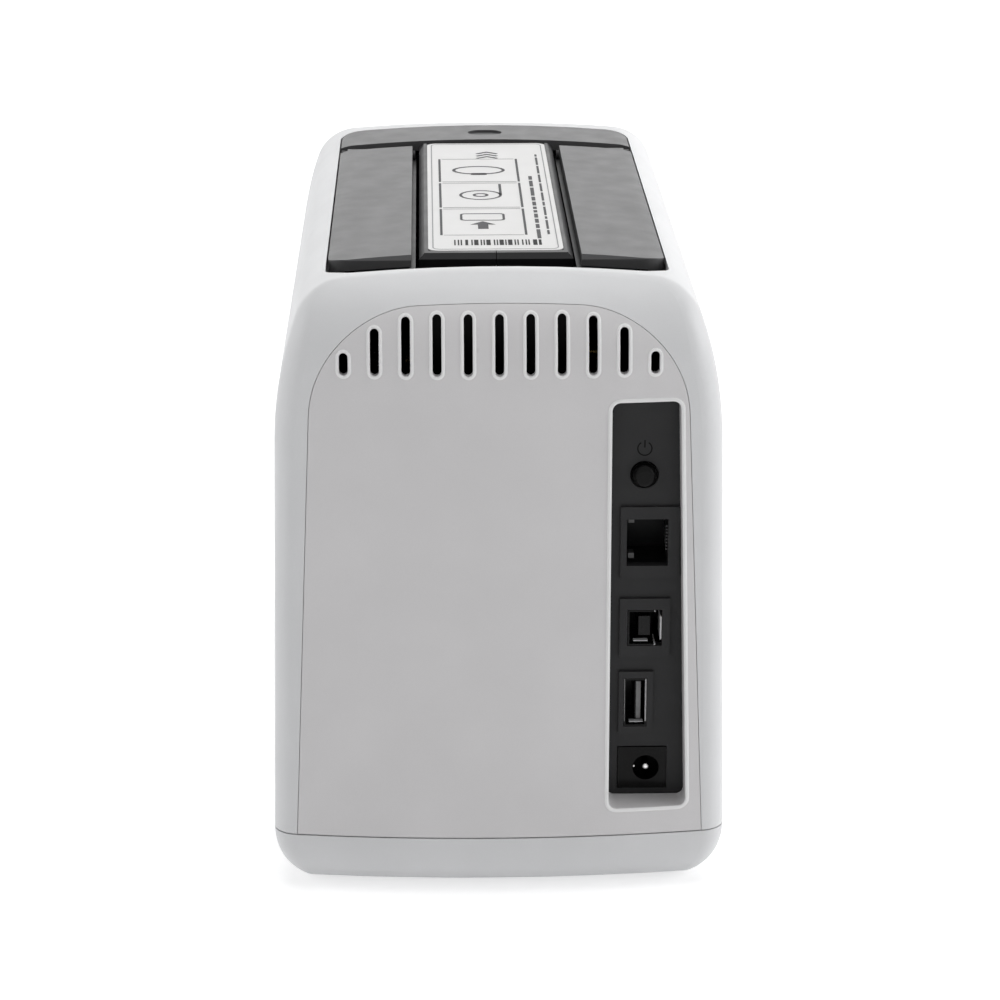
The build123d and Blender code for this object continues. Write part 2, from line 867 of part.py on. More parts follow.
# The cartridge's side view: a round case for the roll, a chin that holds the band's mouth
# and a deck that reaches back over the finger gap
def cartridge_outline(side, grow):
    with BuildSketch(beside(side)) as outline:
        with Locations((roll_middle, roll_height)):
            Circle(case_radius + grow)
        rear_side = roll_middle + case_radius + grow
        front_side = cartridge_front - grow
        chin = chin_height - grow
        high = cartridge_top + grow
        with Locations(((front_side + roll_middle) / 2, (chin + high) / 2)):
            Rectangle(roll_middle - front_side, high - chin)
        with Locations(((roll_middle + rear_side) / 2, (roll_height + high) / 2)):
            Rectangle(rear_side - roll_middle, high - roll_height)
        rear_end = cartridge_rear + grow
        shoulder = shoulder_height - grow
        with Locations(((roll_middle + rear_end) / 2, (shoulder + high) / 2)):
            Rectangle(rear_end - roll_middle, high - shoulder)
    return outline.sketch


# One half of the cartridge: a tray whose open side meets the other half
def cartridge_shell(hand):
    start = hand * cartridge_split
    mouth_half = roll_band / 2 + mouth_side
    with BuildPart() as shell:
        extrude(cartridge_outline(start, 0), amount=hand * (cartridge_half - cartridge_split))
        top_edges = shell.faces().sort_by(Axis.Z)[-1].edges().sort_by(Axis.X)
        chamfer(top_edges[1:] if hand > 0 else top_edges[:-1], cartridge_chamfer)
        cavity = cartridge_half - cartridge_split - cartridge_wall
        extrude(cartridge_outline(start, -cartridge_wall), amount=hand * cavity, mode=Mode.SUBTRACT)
        mouth_low = roll_height + band_thickness / 2 - mouth_height / 2
        mouth_span = (mouth_low, mouth_low + mouth_height)
        x_span = sorted((0, hand * mouth_half))
        block(x_span, (-body_length, cartridge_front + 2 * cartridge_wall), mouth_span, Mode.SUBTRACT)
        label_span = sorted((0, hand * (label_width / 2 + seat_clearance)))
        label_low = cartridge_top - label_thickness
        block(label_span, (label_front, label_rear), (label_low, body_height), Mode.SUBTRACT)
    return shell


cartridge_left_shell = cartridge_shell(1)
cartridge_right_shell = cartridge_shell(-1)

with BuildPart() as cartridge_label:
    with BuildSketch(level(cartridge_top - label_thickness)):
        with Locations((0, (label_front + label_rear) / 2)):
            RectangleRounded(label_width, label_rear - label_front - 2 * seat_clearance, label_corner)
    extrude(amount=label_thickness)

# Spindle across the cartridge, and the core and roll of bands that turn on it
spindle_half = cartridge_half - cartridge_wall - running_clearance
spindle_radius = core_radius - core_wall - spindle_clearance
with BuildPart() as roll_spindle:
    rod_x(roll_middle, roll_height, spindle_radius, (-spindle_half, spindle_half))
    spindle_bore = spindle_radius - spindle_wall
    rod_x(roll_middle, roll_height, spindle_bore, (-spindle_half, spindle_half), Mode.SUBTRACT)

with BuildPart() as roll_core:
    core_half = roll_band / 2 + sheet
    rod_x(roll_middle, roll_height, core_radius, (-core_half, core_half))
    rod_x(roll_middle, roll_height, core_radius - core_wall, (-core_half, core_half), Mode.SUBTRACT)

with BuildPart() as band_roll:
    band_span = (-roll_band / 2, roll_band / 2)
    rod_x(roll_middle, roll_height, roll_radius, band_span)
    rod_x(roll_middle, roll_height, core_radius + running_clearance, band_span, Mode.SUBTRACT)

# The band's free end: off the foot of the roll, up the chin and out to the mouth
tail_height = roll_height + band_thickness / 2
tail_radius = roll_radius + band_gap + band_thickness / 2
tail_reach = hypot(roll_middle - tail_turn, roll_height - tail_height)
tail_lean = atan2(tail_height - roll_height, tail_turn - roll_middle) + acos(tail_radius / tail_reach)
tail_end = (roll_middle + tail_radius * cos(tail_lean), roll_height + tail_radius * sin(tail_lean))
with BuildPart() as band_tail:
    with BuildLine(beside(0)) as tail_path:
        FilletPolyline(
            (cartridge_front + running_clearance, tail_height),
            (tail_turn, tail_height),
            tail_end,
            radius=tail_bend,
        )
    start_plane = Plane(origin=tail_path.line @ 0, z_dir=tail_path.line % 0, x_dir=(1, 0, 0))
    with BuildSketch(start_plane):
        Rectangle(roll_band, band_thickness)
    sweep(path=tail_path.line)

# Bay: a tub that follows the cartridge, a shelf under the covers, hinge ears and cover pads
bay_mouth = roll_band / 2 + 2 * mouth_side
pad_sides = (slot_width / 2 + pad_inner_inset, opening_width / 2 - pad_outer_inset)
pad_top = crown_height(pad_sides[1] + pad_thickness, cover_wall) - button_clearance
pad_rear = cover_rear - pad_rear_inset
bridge_middle = (opening_front + bridge_rear) / 2
bay_spots = [(bay_front + bay_screw_inset, height) for height in bay_screw_heights]
with BuildPart() as shelf_rim:
    extrude(opening_outline(shelf_low, shelf_border), amount=body_height)
    extrude(opening_outline(shelf_low, cover_gap), amount=body_height, mode=Mode.SUBTRACT)
    add(clear_form, mode=Mode.INTERSECT)

with BuildPart() as cartridge_bay:
    extrude(cartridge_outline(-bay_outer, bay_clearance + bay_wall), amount=2 * bay_outer)
    finger_low = shoulder_height - bay_clearance
    gap_depth = (roll_middle, opening_rear + bay_wall)
    block((-bay_outer, bay_outer), gap_depth, (finger_low - bay_wall, pad_top))
    split(bisect_by=level(pad_top), keep=Keep.BOTTOM)
    extrude(opening_outline(shelf_low, shelf_border), amount=shelf_thickness)
    for leg_x, leg_y in leg_spots:
        leg_side = (leg_x - bay_leg_thickness / 2, leg_x + bay_leg_thickness / 2)
        leg_depth = (leg_y - bay_leg_width / 2, leg_y + bay_leg_width / 2)
        block(leg_side, leg_depth, (stand_top, roll_height))
    for pad_y, pad_z in bay_spots:
        rod_x(pad_y, pad_z, boss_radius, (-chassis_inner, chassis_inner))
    for hand in (-1, 1):
        for near, far in ear_spans:
            ear_side = sorted((hand * near, hand * far))
            ear_reach = hinge_radius - cover_gap
            rod_x(hinge_depth, hinge_height, ear_reach, ear_side)
            ear_depth = (hinge_depth - ear_reach, hinge_depth + ear_reach)
            block(ear_side, ear_depth, (shelf_low, hinge_height))
        for pad_side in pad_sides:
            pad_x = sorted((hand * pad_side, hand * (pad_side + pad_thickness)))
            block(pad_x, (pad_rear - pad_thickness, pad_rear), (shelf_low, pad_top))
        bridge_pad = sorted((hand * pad_sides[0], hand * pad_sides[1]))
        pad_high = crown_height(pad_sides[1], cover_wall) - seat_clearance
        bridge_seat = (bridge_middle - pad_thickness / 2, bridge_middle + pad_thickness / 2)
        block(bridge_pad, bridge_seat, (shelf_low, pad_high))
    extrude(cartridge_outline(-bay_half, bay_clearance), amount=2 * bay_half, mode=Mode.SUBTRACT)
    block((-bay_half, bay_half), (roll_middle, opening_rear), (finger_low, body_height), Mode.SUBTRACT)
    add(shelf_rim.part)
    pad_half = seat_pad_size[0] / 2
    front_seat = (cartridge_front + seat_pad_size[1], chin_height)
    rear_seat = (cartridge_rear - seat_pad_size[1], shoulder_height)
    for pad_y, seat in (front_seat, rear_seat):
        pad_depth = (pad_y - seat_pad_size[1] / 2, pad_y + seat_pad_size[1] / 2)
        pad_low = seat - bay_clearance - bay_wall / 2
        block((-pad_half, pad_half), pad_depth, (pad_low, seat - seat_pad_gap))
    mouth_span = (nip_height - mouth_height, nip_height + mouth_height)
    block((-bay_mouth, bay_mouth), (-body_length, cartridge_front), mouth_span, Mode.SUBTRACT)
    for hand in (-1, 1):
        barrel_room = sorted((hand * near_ear[1], hand * far_ear[0]))
        rod_x(hinge_depth, hinge_height, hinge_radius + button_clearance, barrel_room, Mode.SUBTRACT)
    wide = (-body_width, body_width)
    rod_x(hinge_depth, hinge_height, hinge_pin_radius + thread_clearance, wide, Mode.SUBTRACT)
    for pad_y, pad_z in bay_spots:
        rod_x(pad_y, pad_z, screw_hole, wide, Mode.SUBTRACT)
    for leg_x, leg_y in leg_spots:
        rod_z(leg_x, leg_y, screw_hole, (0, leg_screw_top + sheet), Mode.SUBTRACT)

# Where the gears sit: the idler beside the platen gear, the motor below the idler
def pitch_radius(teeth):
    return gear_module * teeth / 2


platen_axis = (platen_depth, platen_height)
idler_axis = polar(platen_axis, pitch_radius(platen_teeth) + pitch_radius(idler_teeth), idler_lean)
motor_axis = polar(idler_axis, pitch_radius(idler_teeth) + pitch_radius(pinion_teeth), motor_lean)


# Each gear is turned so that a tooth of one lies in a gap of the next
def meshed_turn(own_teeth, other_teeth, other_turn, lean):
    other_step = 360 / other_teeth
    offset = (lean - other_turn) % other_step
    return lean + 180 + offset * other_teeth / own_teeth + 180 / own_teeth


platen_turn = idler_lean
idler_turn = meshed_turn(idler_teeth, platen_teeth, platen_turn, idler_lean)
pinion_turn = meshed_turn(pinion_teeth, idler_teeth, idler_turn, motor_lean)


# Half the angle of a tooth at a radius, along its involute flank
def tooth_half_angle(teeth, radius):
    base_radius = pitch_radius(teeth) * cos(radians(pressure_angle))
    flank = acos(min(base_radius / max(radius, base_radius), 1))
    start = radians(pressure_angle)
    half_pitch = pi / (2 * teeth) - gear_backlash / (2 * pitch_radius(teeth))
    return half_pitch + (tan(start) - start) - (tan(flank) - flank)


def gear_face(teeth, turn, axis, bore):
    root = pitch_radius(teeth) - gear_dedendum * gear_module
    tip = pitch_radius(teeth) + gear_addendum * gear_module
    radii = [root + (tip - root) * step / flank_steps for step in range(flank_steps + 1)]
    points = []
    for tooth in range(teeth):
        middle = radians(turn) + 2 * pi * tooth / teeth
        rising = [(radius, middle - tooth_half_angle(teeth, radius)) for radius in radii]
        falling = [(radius, middle + tooth_half_angle(teeth, radius)) for radius in reversed(radii)]
        for radius, angle in rising + falling:
            points.append((axis[0] + radius * cos(angle), axis[1] + radius * sin(angle)))
    with BuildSketch(beside(gear_plane)) as face:
        with BuildLine():
            Polyline(*points, close=True)
        make_face()
        with Locations(axis):
            Circle(bore, mode=Mode.SUBTRACT)
    return face.sketch


with BuildPart() as platen_gear:
    extrude(gear_face(platen_teeth, platen_turn, platen_axis, platen_shaft_radius), amount=gear_width)

with BuildPart() as idler_gear:
    idler_bore = stud_radius + running_clearance
    extrude(gear_face(idler_teeth, idler_turn, idler_axis, idler_bore), amount=gear_width)

with BuildPart() as motor_pinion:
    pinion_face = gear_face(pinion_teeth, pinion_turn, motor_axis, motor_shaft_radius)
    extrude(pinion_face, amount=gear_width)

# Platen: a rubber sleeve on a steel shaft, in two flanged bushings
gear_end = gear_plane + gear_width
with BuildPart() as platen_shaft:
    rod_x(*platen_axis, platen_shaft_radius, (-chassis_outer - gear_offset, gear_end + sheet))

with BuildPart() as platen_rubber:
    rod_x(*platen_axis, platen_radius, (-platen_length / 2, platen_length / 2))
    rod_x(*platen_axis, platen_shaft_radius, (-platen_length / 2, platen_length / 2), Mode.SUBTRACT)

bushing_bore = platen_shaft_radius + running_clearance
bushing_radius = bushing_bore + bushing_wall
with BuildPart() as platen_bushings:
    for hand in (-1, 1):
        sleeve = sorted((hand * chassis_inner, hand * (chassis_outer + sheet)))
        flange = sorted((hand * (chassis_inner - sheet), hand * chassis_inner))
        rod_x(*platen_axis, bushing_radius, sleeve)
        rod_x(*platen_axis, bushing_radius + sheet, flange)
    rod_x(*platen_axis, bushing_bore, (-body_width, body_width), Mode.SUBTRACT)

with BuildPart() as idler_stud:
    stud_head = gear_end + button_clearance
    rod_x(*idler_axis, stud_radius, (chassis_inner, stud_head))
    rod_x(*idler_axis, stud_radius + sheet, (stud_head, stud_head + sheet))

# Motor on the left side plate, its shaft through the plate
half_motor = motor_size / 2
hole_offsets = (-motor_hole_spacing / 2, motor_hole_spacing / 2)
motor_spots = [(motor_axis[0] + y, motor_axis[1] + z) for y in hole_offsets for z in hole_offsets]
shaft_start = chassis_inner - motor_shaft_depth
with BuildPart() as drive_motor:
    motor_y = (motor_axis[0] - half_motor, motor_axis[0] + half_motor)
    motor_z = (motor_axis[1] - half_motor, motor_axis[1] + half_motor)
    block((chassis_inner - motor_length, chassis_inner), motor_y, motor_z)
    chamfer(drive_motor.edges().filter_by(Axis.X), motor_chamfer)
    rod_x(*motor_axis, motor_boss_radius, (chassis_inner, chassis_outer))
    shaft_bore = motor_shaft_radius + running_clearance
    rod_x(*motor_axis, shaft_bore, (shaft_start, chassis_outer), Mode.SUBTRACT)
    for hole_y, hole_z in motor_spots:
        hole_span = (chassis_inner - motor_hole_depth, chassis_inner)
        rod_x(hole_y, hole_z, screw_hole, hole_span, Mode.SUBTRACT)

with BuildPart() as motor_shaft:
    rod_x(*motor_axis, motor_shaft_radius, (shaft_start + running_clearance, gear_end + sheet))


# A screw along an axis: its head outside the seat, a hexagon socket in the head
def screw(rod, spot, seat, tip):
    outward = 1 if seat > tip else -1
    head_end = seat + outward * screw_head
    socket_end = head_end - outward * screw_hex
    rod(*spot, screw_radius, sorted((seat, tip)))
    rod(*spot, screw_head_radius, sorted((seat, head_end)))
    rod(*spot, screw_hex, sorted((socket_end, head_end)), Mode.SUBTRACT, 6)


with BuildPart() as motor_screws:
    for spot in motor_spots:
        screw(rod_x, spot, chassis_outer, chassis_inner - motor_hole_depth + screw_floor)

with BuildPart() as bay_screws:
    for spot in bay_spots:
        for hand in (-1, 1):
            screw(rod_x, spot, hand * chassis_outer, hand * (bay_outer - seat_clearance))

# Side plates of bent sheet, standing on the base's pads
beam_low = bracket_top + spring_length
beam_middle = platen_depth
beam_tab = beam_low + beam_tab_height
beam_spots = [(beam_middle, beam_low + sheet + beam_tab_height / 2)]


def side_plate(hand):
    inner_face, outer_face = sorted((hand * chassis_inner, hand * chassis_outer))
    foot_span = sorted((hand * chassis_inner, hand * (chassis_outer + chassis_flange)))
    wide = (-body_width, body_width)
    with BuildPart() as plate:
        block((inner_face, outer_face), (chassis_front, chassis_rear), (stand_top, chassis_top))
        chamfer(plate.edges().filter_by(Axis.X).group_by(Axis.Z)[-1], chassis_chamfer)
        flange_depth = (chassis_front + chassis_flange_inset, chassis_rear)
        block(foot_span, flange_depth, (stand_top, stand_top + sheet))
        rod_x(*platen_axis, bushing_radius, wide, Mode.SUBTRACT)
        rod_x(pivot_depth, pivot_height, pivot_radius, wide, Mode.SUBTRACT)
        for spot in bay_spots + beam_spots:
            rod_x(*spot, screw_hole, wide, Mode.SUBTRACT)
        for spot_x, spot_y in chassis_spots:
            rod_z(spot_x, spot_y, screw_hole, (0, stand_top + sheet), Mode.SUBTRACT)
        if hand > 0:
            rod_x(*idler_axis, stud_radius, wide, Mode.SUBTRACT)
            rod_x(*motor_axis, motor_boss_radius, wide, Mode.SUBTRACT)
            for spot in motor_spots:
                rod_x(*spot, screw_hole, wide, Mode.SUBTRACT)
    return plate


left_side_plate = side_plate(1)
right_side_plate = side_plate(-1)

# Beam between the plates that the head's springs push against
with BuildPart() as spring_beam:
    beam_span = (beam_middle - half_beam, beam_middle + half_beam)
    block((-chassis_inner, chassis_inner), beam_span, (beam_low, beam_low + sheet))
    for hand in (-1, 1):
        tab_side = sorted((hand * (chassis_inner - sheet), hand * chassis_inner))
        block(tab_side, beam_span, (beam_low, beam_tab))
    for spot in beam_spots:
        rod_x(*spot, screw_hole, (-body_width, body_width), Mode.SUBTRACT)

with BuildPart() as plate_screws:
    for spot in beam_spots:
        for hand in (-1, 1):
            screw(rod_x, spot, hand * chassis_outer, hand * (chassis_inner - 2 * sheet))
    for spot in chassis_spots:
        screw(rod_z, spot, floor_recess, stand_top + 2 * sheet)

# Print head: a ceramic strip under an aluminium block, on a bracket that rocks on its shaft
bracket_side = chassis_inner - ear_inset
with BuildPart() as print_head:
    head_span = (platen_depth - head_depth / 2, platen_depth + head_depth / 2)
    block((-platen_length / 2, platen_length / 2), head_span, (head_height, sink_height))

with BuildPart() as head_heatsink:
    sink_span = (platen_depth - sink_depth / 2, platen_depth + sink_depth / 2)
    block((-bracket_side + sheet, bracket_side - sheet), sink_span, (sink_height, bracket_height))
    for hand in (-1, 1):
        fin_y = platen_depth + hand * sink_depth / 2
        fin_span = (fin_y - fin_depth, fin_y + fin_depth)
        fin_height = (sink_height + sheet, sink_height + 2 * sheet)
        block((-body_width, body_width), fin_span, fin_height, Mode.SUBTRACT)

with BuildPart() as head_bracket:
    bracket_front = platen_depth - sink_depth / 2
    bracket_rear = platen_depth + sink_depth / 2
    block((-bracket_side, bracket_side), (bracket_front, bracket_rear), (bracket_height, bracket_top))
    for hand in (-1, 1):
        with BuildSketch(beside(hand * bracket_side)) as ear:
            with Locations((pivot_depth, pivot_height)):
                Circle(ear_radius)
            with Locations(((platen_depth + bracket_rear) / 2, bracket_height + sheet / 2)):
                Rectangle(bracket_rear - platen_depth, sheet)
            make_hull()
        extrude(ear.sketch, amount=-hand * sheet)
    pivot_bore = pivot_radius + running_clearance
    rod_x(pivot_depth, pivot_height, pivot_bore, (-body_width, body_width), Mode.SUBTRACT)

with BuildPart() as head_pivot_shaft:
    rod_x(pivot_depth, pivot_height, pivot_radius, (-chassis_outer - sheet, chassis_outer + sheet))

coil_low = bracket_top + spring_wire / 2 + running_clearance
coil_high = beam_low - spring_wire / 2 - running_clearance
with BuildPart() as head_springs:
    for hand in (-1, 1):
        coil_foot = Location((hand * spring_spread / 2, platen_depth, coil_low))
        coil_length = coil_high - coil_low
        coil = Helix(coil_length / spring_turns, coil_length, spring_radius).moved(coil_foot)
        with BuildSketch(Plane(origin=coil @ 0, z_dir=coil % 0)) as wire:
            Circle(spring_wire / 2)
        sweep(wire.sketch, path=coil, is_frenet=True)

with BuildPart() as band_sensor:
    sensor_rear = bay_front - bay_wall
    sensor_top = nip_height - mouth_height - sheet
    sensor_half = sensor_size / 2
    sensor_depth = (sensor_rear - sensor_half, sensor_rear)
    block((-sensor_half, sensor_half), sensor_depth, (sensor_top - sensor_size, sensor_top))

# Connector plate: a flat plate behind the recess, with a raised rim round each connector
plate_back = plate_face - plate_thickness


# The faces of a box of a size round a middle on the plate, seen from behind
def port_box(side, height, size, grow, depth_span, mode=Mode.ADD):
    half_side = size[0] / 2 + grow
    half_height = size[1] / 2 + grow
    x_span = (-socket_side - side - half_side, -socket_side - side + half_side)
    block(x_span, depth_span, (height - half_height, height + half_height), mode)


rim_face = plate_face + rim_proud
socket_face = plate_back - seat_clearance
button_x = -power_button_side
button_half = power_button_width / 2
ports = [
    (ethernet_offset, ethernet_height, ethernet_opening, ethernet_rim),
    (usb_b_offset, usb_b_height, usb_b_opening, usb_b_rim),
    (usb_a_offset, usb_a_height, usb_a_opening, usb_a_rim),
]
with BuildPart() as io_plate:
    extrude(window_outline(plate_back, plate_overlap), amount=-plate_thickness)
    for side, height, opening, rim in ports:
        port_box(rim[0] / 2, height, rim, 0, (plate_back, rim_face))
    for side, height, opening, rim in ports:
        port_box(side, height, opening, 0, (0, body_length), Mode.SUBTRACT)
    port_box(dc_block[0] / 2, dc_height, dc_block, socket_clearance, (0, body_length), Mode.SUBTRACT)
    rod_y(button_x, power_button_height, button_half + button_clearance, (0, body_length), Mode.SUBTRACT)

with BuildPart() as ethernet_socket:
    ethernet_depth = (socket_face - ethernet_length, socket_face)
    case_side = ethernet_rim[0] / 2 - board_gap
    port_box(case_side, ethernet_height, ethernet_rim, -ethernet_case_inset, ethernet_depth)
    cavity_depth = (socket_face - ethernet_cavity, socket_face)
    port_box(ethernet_offset, ethernet_height, ethernet_opening, 0, cavity_depth, Mode.SUBTRACT)

# The two USB shells are thin tubes with a tongue inside
with BuildPart() as usb_b_socket:
    shell_depth = (socket_face - usb_b_length, rim_face - running_clearance)
    port_box(usb_b_offset, usb_b_height, usb_b_opening, -socket_clearance, shell_depth)
    far_edges = usb_b_socket.edges().filter_by(Axis.Y).group_by(Axis.X)[0]
    chamfer(far_edges, usb_b_chamfer)
    open_depth = (socket_face - usb_b_length + socket_back, body_length)
    hollow = -socket_clearance - shell_wall
    port_box(usb_b_offset, usb_b_height, usb_b_opening, hollow, open_depth, Mode.SUBTRACT)
    tongue_depth = (socket_face - usb_b_length, plate_face - tongue_setback)
    port_box(usb_b_offset, usb_b_height, usb_b_tongue, 0, tongue_depth)

with BuildPart() as usb_a_socket:
    shell_depth = (socket_face - usb_a_length, rim_face - running_clearance)
    port_box(usb_a_offset, usb_a_height, usb_a_opening, -socket_clearance, shell_depth)
    open_depth = (socket_face - usb_a_length + socket_back, body_length)
    port_box(usb_a_offset, usb_a_height, usb_a_opening, hollow, open_depth, Mode.SUBTRACT)
    tongue_depth = (socket_face - usb_a_length, plate_face - tongue_setback)
    port_box(usb_a_offset + usb_a_tongue[0] / 2, usb_a_height, usb_a_tongue, 0, tongue_depth)

dc_x = -socket_side - dc_hole_offset
dc_face = plate_face + dc_proud
dc_floor = dc_face - dc_bore_depth
with BuildPart() as dc_power_socket:
    port_box(dc_block[0] / 2, dc_height, dc_block, 0, (dc_floor - socket_back, dc_face))
    rod_y(dc_x, dc_height, dc_bore / 2, (dc_floor, dc_face), Mode.SUBTRACT)
    rod_y(dc_x, dc_height, dc_pin / 2, (dc_floor, dc_face - dc_pin_setback))

# Power button: a domed cap in the plate, a flange behind it and a stem to the switch
button_face_y = plate_face + power_button_proud
button_flange_y = plate_back - button_clearance
switch_gap = power_button_travel + button_clearance
stem_end_y = button_flange_y - power_stem_length
with BuildPart() as power_button:
    rod_y(button_x, power_button_height, button_half, (button_flange_y, button_face_y))
    fillet(power_button.edges().filter_by(GeomType.CIRCLE).sort_by(Axis.Y)[-1], power_button_dome)
    flange_span = (button_flange_y - button_flange, button_flange_y)
    rod_y(button_x, power_button_height, button_half + button_flange, flange_span)
    rod_y(button_x, power_button_height, power_stem_radius, (stem_end_y, button_flange_y))

with BuildPart() as power_switch:
    switch_front = stem_end_y - switch_gap
    switch_x = (button_x - button_half, -board_face)
    switch_z = (power_button_height - button_half, power_button_height + button_half)
    block(switch_x, (switch_front - power_switch_depth, switch_front), switch_z)

# Main board, upright beside the bay, its connectors on the outer side
with BuildPart() as main_board:
    block((-board_face, -board_back), (board_front, board_rear), (board_low, board_high))
    for spot in standoff_spots:
        rod_x(*spot, screw_hole, (-body_width, body_width), Mode.SUBTRACT)

with BuildPart() as board_standoffs:
    for spot in standoff_spots:
        rod_x(*spot, standoff_radius, (-board_back, -bay_outer))
        rod_x(*spot, screw_hole, (-board_back, -bay_outer - screw_floor), Mode.SUBTRACT)

with BuildPart() as board_screws:
    for spot in standoff_spots:
        screw(rod_x, spot, -board_face, -bay_outer - 2 * screw_floor)
    for spot in post_spots:
        post_seat = button_board_face + board_thickness
        screw(rod_y, spot, post_seat, button_board_face - post_screw_length)

with BuildPart() as board_components:
    chip_face = -board_face - chip_height
    chip_span = (chip_face, -board_face)
    processor_depth = (processor_y, processor_y + processor_size)
    block(chip_span, processor_depth, (processor_z, processor_z + processor_size))
    for count in range(memory_count):
        memory_z = processor_z + count * memory_pitch
        memory_y = (processor_y - memory_pitch - memory_width, processor_y - memory_pitch)
        block(chip_span, memory_y, (memory_z, memory_z + memory_length))
    for count in range(capacitor_count):
        capacitor_z = capacitor_low + count * capacitor_pitch
        capacitor_span = (-board_face - capacitor_height, -board_face)
        rod_x(capacitor_y, capacitor_z, capacitor_radius, capacitor_span)
    coil_span = (-board_face - coil_size, -board_face)
    block(coil_span, (coil_y, coil_y + coil_size), (coil_z, coil_z + coil_size))

with BuildPart() as rubber_feet:
    for foot_x, foot_y in foot_spots:
        rod_z(foot_x, foot_y, foot_radius, (0, foot_stand + foot_recess))
    chamfer(rubber_feet.edges().filter_by(GeomType.CIRCLE).group_by(Axis.Z)[0], foot_stand / 2)

with BuildPart() as base_screws:
    for spot in boss_spots:
        screw(rod_z, spot, recess_top, base_screw_top)
    for spot in leg_spots:
        screw(rod_z, spot, floor_recess, leg_screw_top)

# Every piece is written under its own name
pieces = {
    "main_housing": main_housing,
    "base_pan": base_pan,
    "rubber_feet": rubber_feet,
    "base_screws": base_screws,
    "rear_panel": rear_panel,
    "io_plate": io_plate,
    "power_button": power_button,
    "power_switch": power_switch,
    "ethernet_socket": ethernet_socket,
    "usb_b_socket": usb_b_socket,
    "usb_a_socket": usb_a_socket,
    "dc_power_socket": dc_power_socket,
    "main_board": main_board,
    "board_components": board_components,
    "board_standoffs": board_standoffs,
    "board_screws": board_screws,
    "cartridge_bay": cartridge_bay,
    "bay_screws": bay_screws,
    "front_bridge": front_bridge,
    "front_panel": front_panel,
    "exit_chute": exit_chute,
    "tear_bar": tear_bar,
    "status_lights": status_lights,
    "button_board": button_board,
    "left_cover": left_cover,
    "right_cover": right_cover,
    "cartridge_left_shell": cartridge_left_shell,
    "cartridge_right_shell": cartridge_right_shell,
    "cartridge_label": cartridge_label,
    "roll_spindle": roll_spindle,
    "roll_core": roll_core,
    "band_roll": band_roll,
    "band_tail": band_tail,
    "left_side_plate": left_side_plate,
    "right_side_plate": right_side_plate,
    "plate_screws": plate_screws,
    "spring_beam": spring_beam,
    "platen_shaft": platen_shaft,
    "platen_rubber": platen_rubber,
    "platen_gear": platen_gear,
    "platen_bushings": platen_bushings,
    "idler_gear": idler_gear,
    "idler_stud": idler_stud,
    "drive_motor": drive_motor,
    "motor_shaft": motor_shaft,
    "motor_pinion": motor_pinion,
    "motor_screws": motor_screws,
    "head_bracket": head_bracket,
    "print_head": print_head,
    "head_heatsink": head_heatsink,
    "head_pivot_shaft": head_pivot_shaft,
    "head_springs": head_springs,
    "band_sensor": band_sensor,
}
pieces.update(front_buttons)
pieces.update(hinge_pins)
for name, piece in pieces.items():
    piece.part.label = name
    export_step(piece.part, f"parts/{name}.step")
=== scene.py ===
# Wristband label printer: finishes, printed details, floor, lights and camera round the packed
# model. Sizes in the dictionaries are in millimetres, colours are linear.
import json
import random
from math import asin, cos, pi, radians, sin, sqrt, tan, tau

import bmesh
import bpy
from mathutils import Matrix, Vector


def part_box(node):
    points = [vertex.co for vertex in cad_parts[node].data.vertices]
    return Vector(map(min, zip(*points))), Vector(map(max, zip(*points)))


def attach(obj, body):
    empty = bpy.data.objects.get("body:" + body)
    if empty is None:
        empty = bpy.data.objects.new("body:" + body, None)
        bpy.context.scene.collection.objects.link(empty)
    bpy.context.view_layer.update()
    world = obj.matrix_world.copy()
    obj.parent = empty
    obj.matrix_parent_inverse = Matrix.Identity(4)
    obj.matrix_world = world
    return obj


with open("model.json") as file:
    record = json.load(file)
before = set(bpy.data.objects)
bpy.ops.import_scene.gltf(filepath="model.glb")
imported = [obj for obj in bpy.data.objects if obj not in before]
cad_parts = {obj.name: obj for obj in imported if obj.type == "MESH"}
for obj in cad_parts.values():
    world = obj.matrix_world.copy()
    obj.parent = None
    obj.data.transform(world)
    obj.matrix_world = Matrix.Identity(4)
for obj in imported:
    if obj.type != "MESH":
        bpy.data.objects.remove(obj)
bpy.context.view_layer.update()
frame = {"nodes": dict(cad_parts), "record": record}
nodes = frame["nodes"]
scene = bpy.context.scene
mm = 0.001
print("model loaded:", len(nodes), "nodes")


# A new material with its shader and the object's own coordinates
def startFinish(name):
    finish = bpy.data.materials.new(name)
    finish.use_nodes = True
    tree = finish.node_tree
    place = tree.nodes.new("ShaderNodeTexCoord").outputs["Object"]
    return finish, tree, tree.nodes["Principled BSDF"], place


# Noise with grains of a size in mm, drawn out along an axis by the stretch
def addNoise(tree, place, size, detail=2.0, stretch=(1, 1, 1)):
    mapping = tree.nodes.new("ShaderNodeMapping")
    mapping.inputs["Scale"].default_value = [1 / (size * mm * along) for along in stretch]
    noise = tree.nodes.new("ShaderNodeTexNoise")
    noise.inputs["Scale"].default_value = 1.0
    noise.inputs["Detail"].default_value = detail
    tree.links.new(place, mapping.inputs["Vector"])
    tree.links.new(mapping.outputs["Vector"], noise.inputs["Vector"])
    return noise.outputs["Fac"]


def spreadValue(tree, source, low, high, start=0.3, end=0.7):
    spread = tree.nodes.new("ShaderNodeMapRange")
    spread.inputs["From Min"].default_value = start
    spread.inputs["From Max"].default_value = end
    spread.inputs["To Min"].default_value = low
    spread.inputs["To Max"].default_value = high
    tree.links.new(source, spread.inputs["Value"])
    return spread.outputs["Result"]


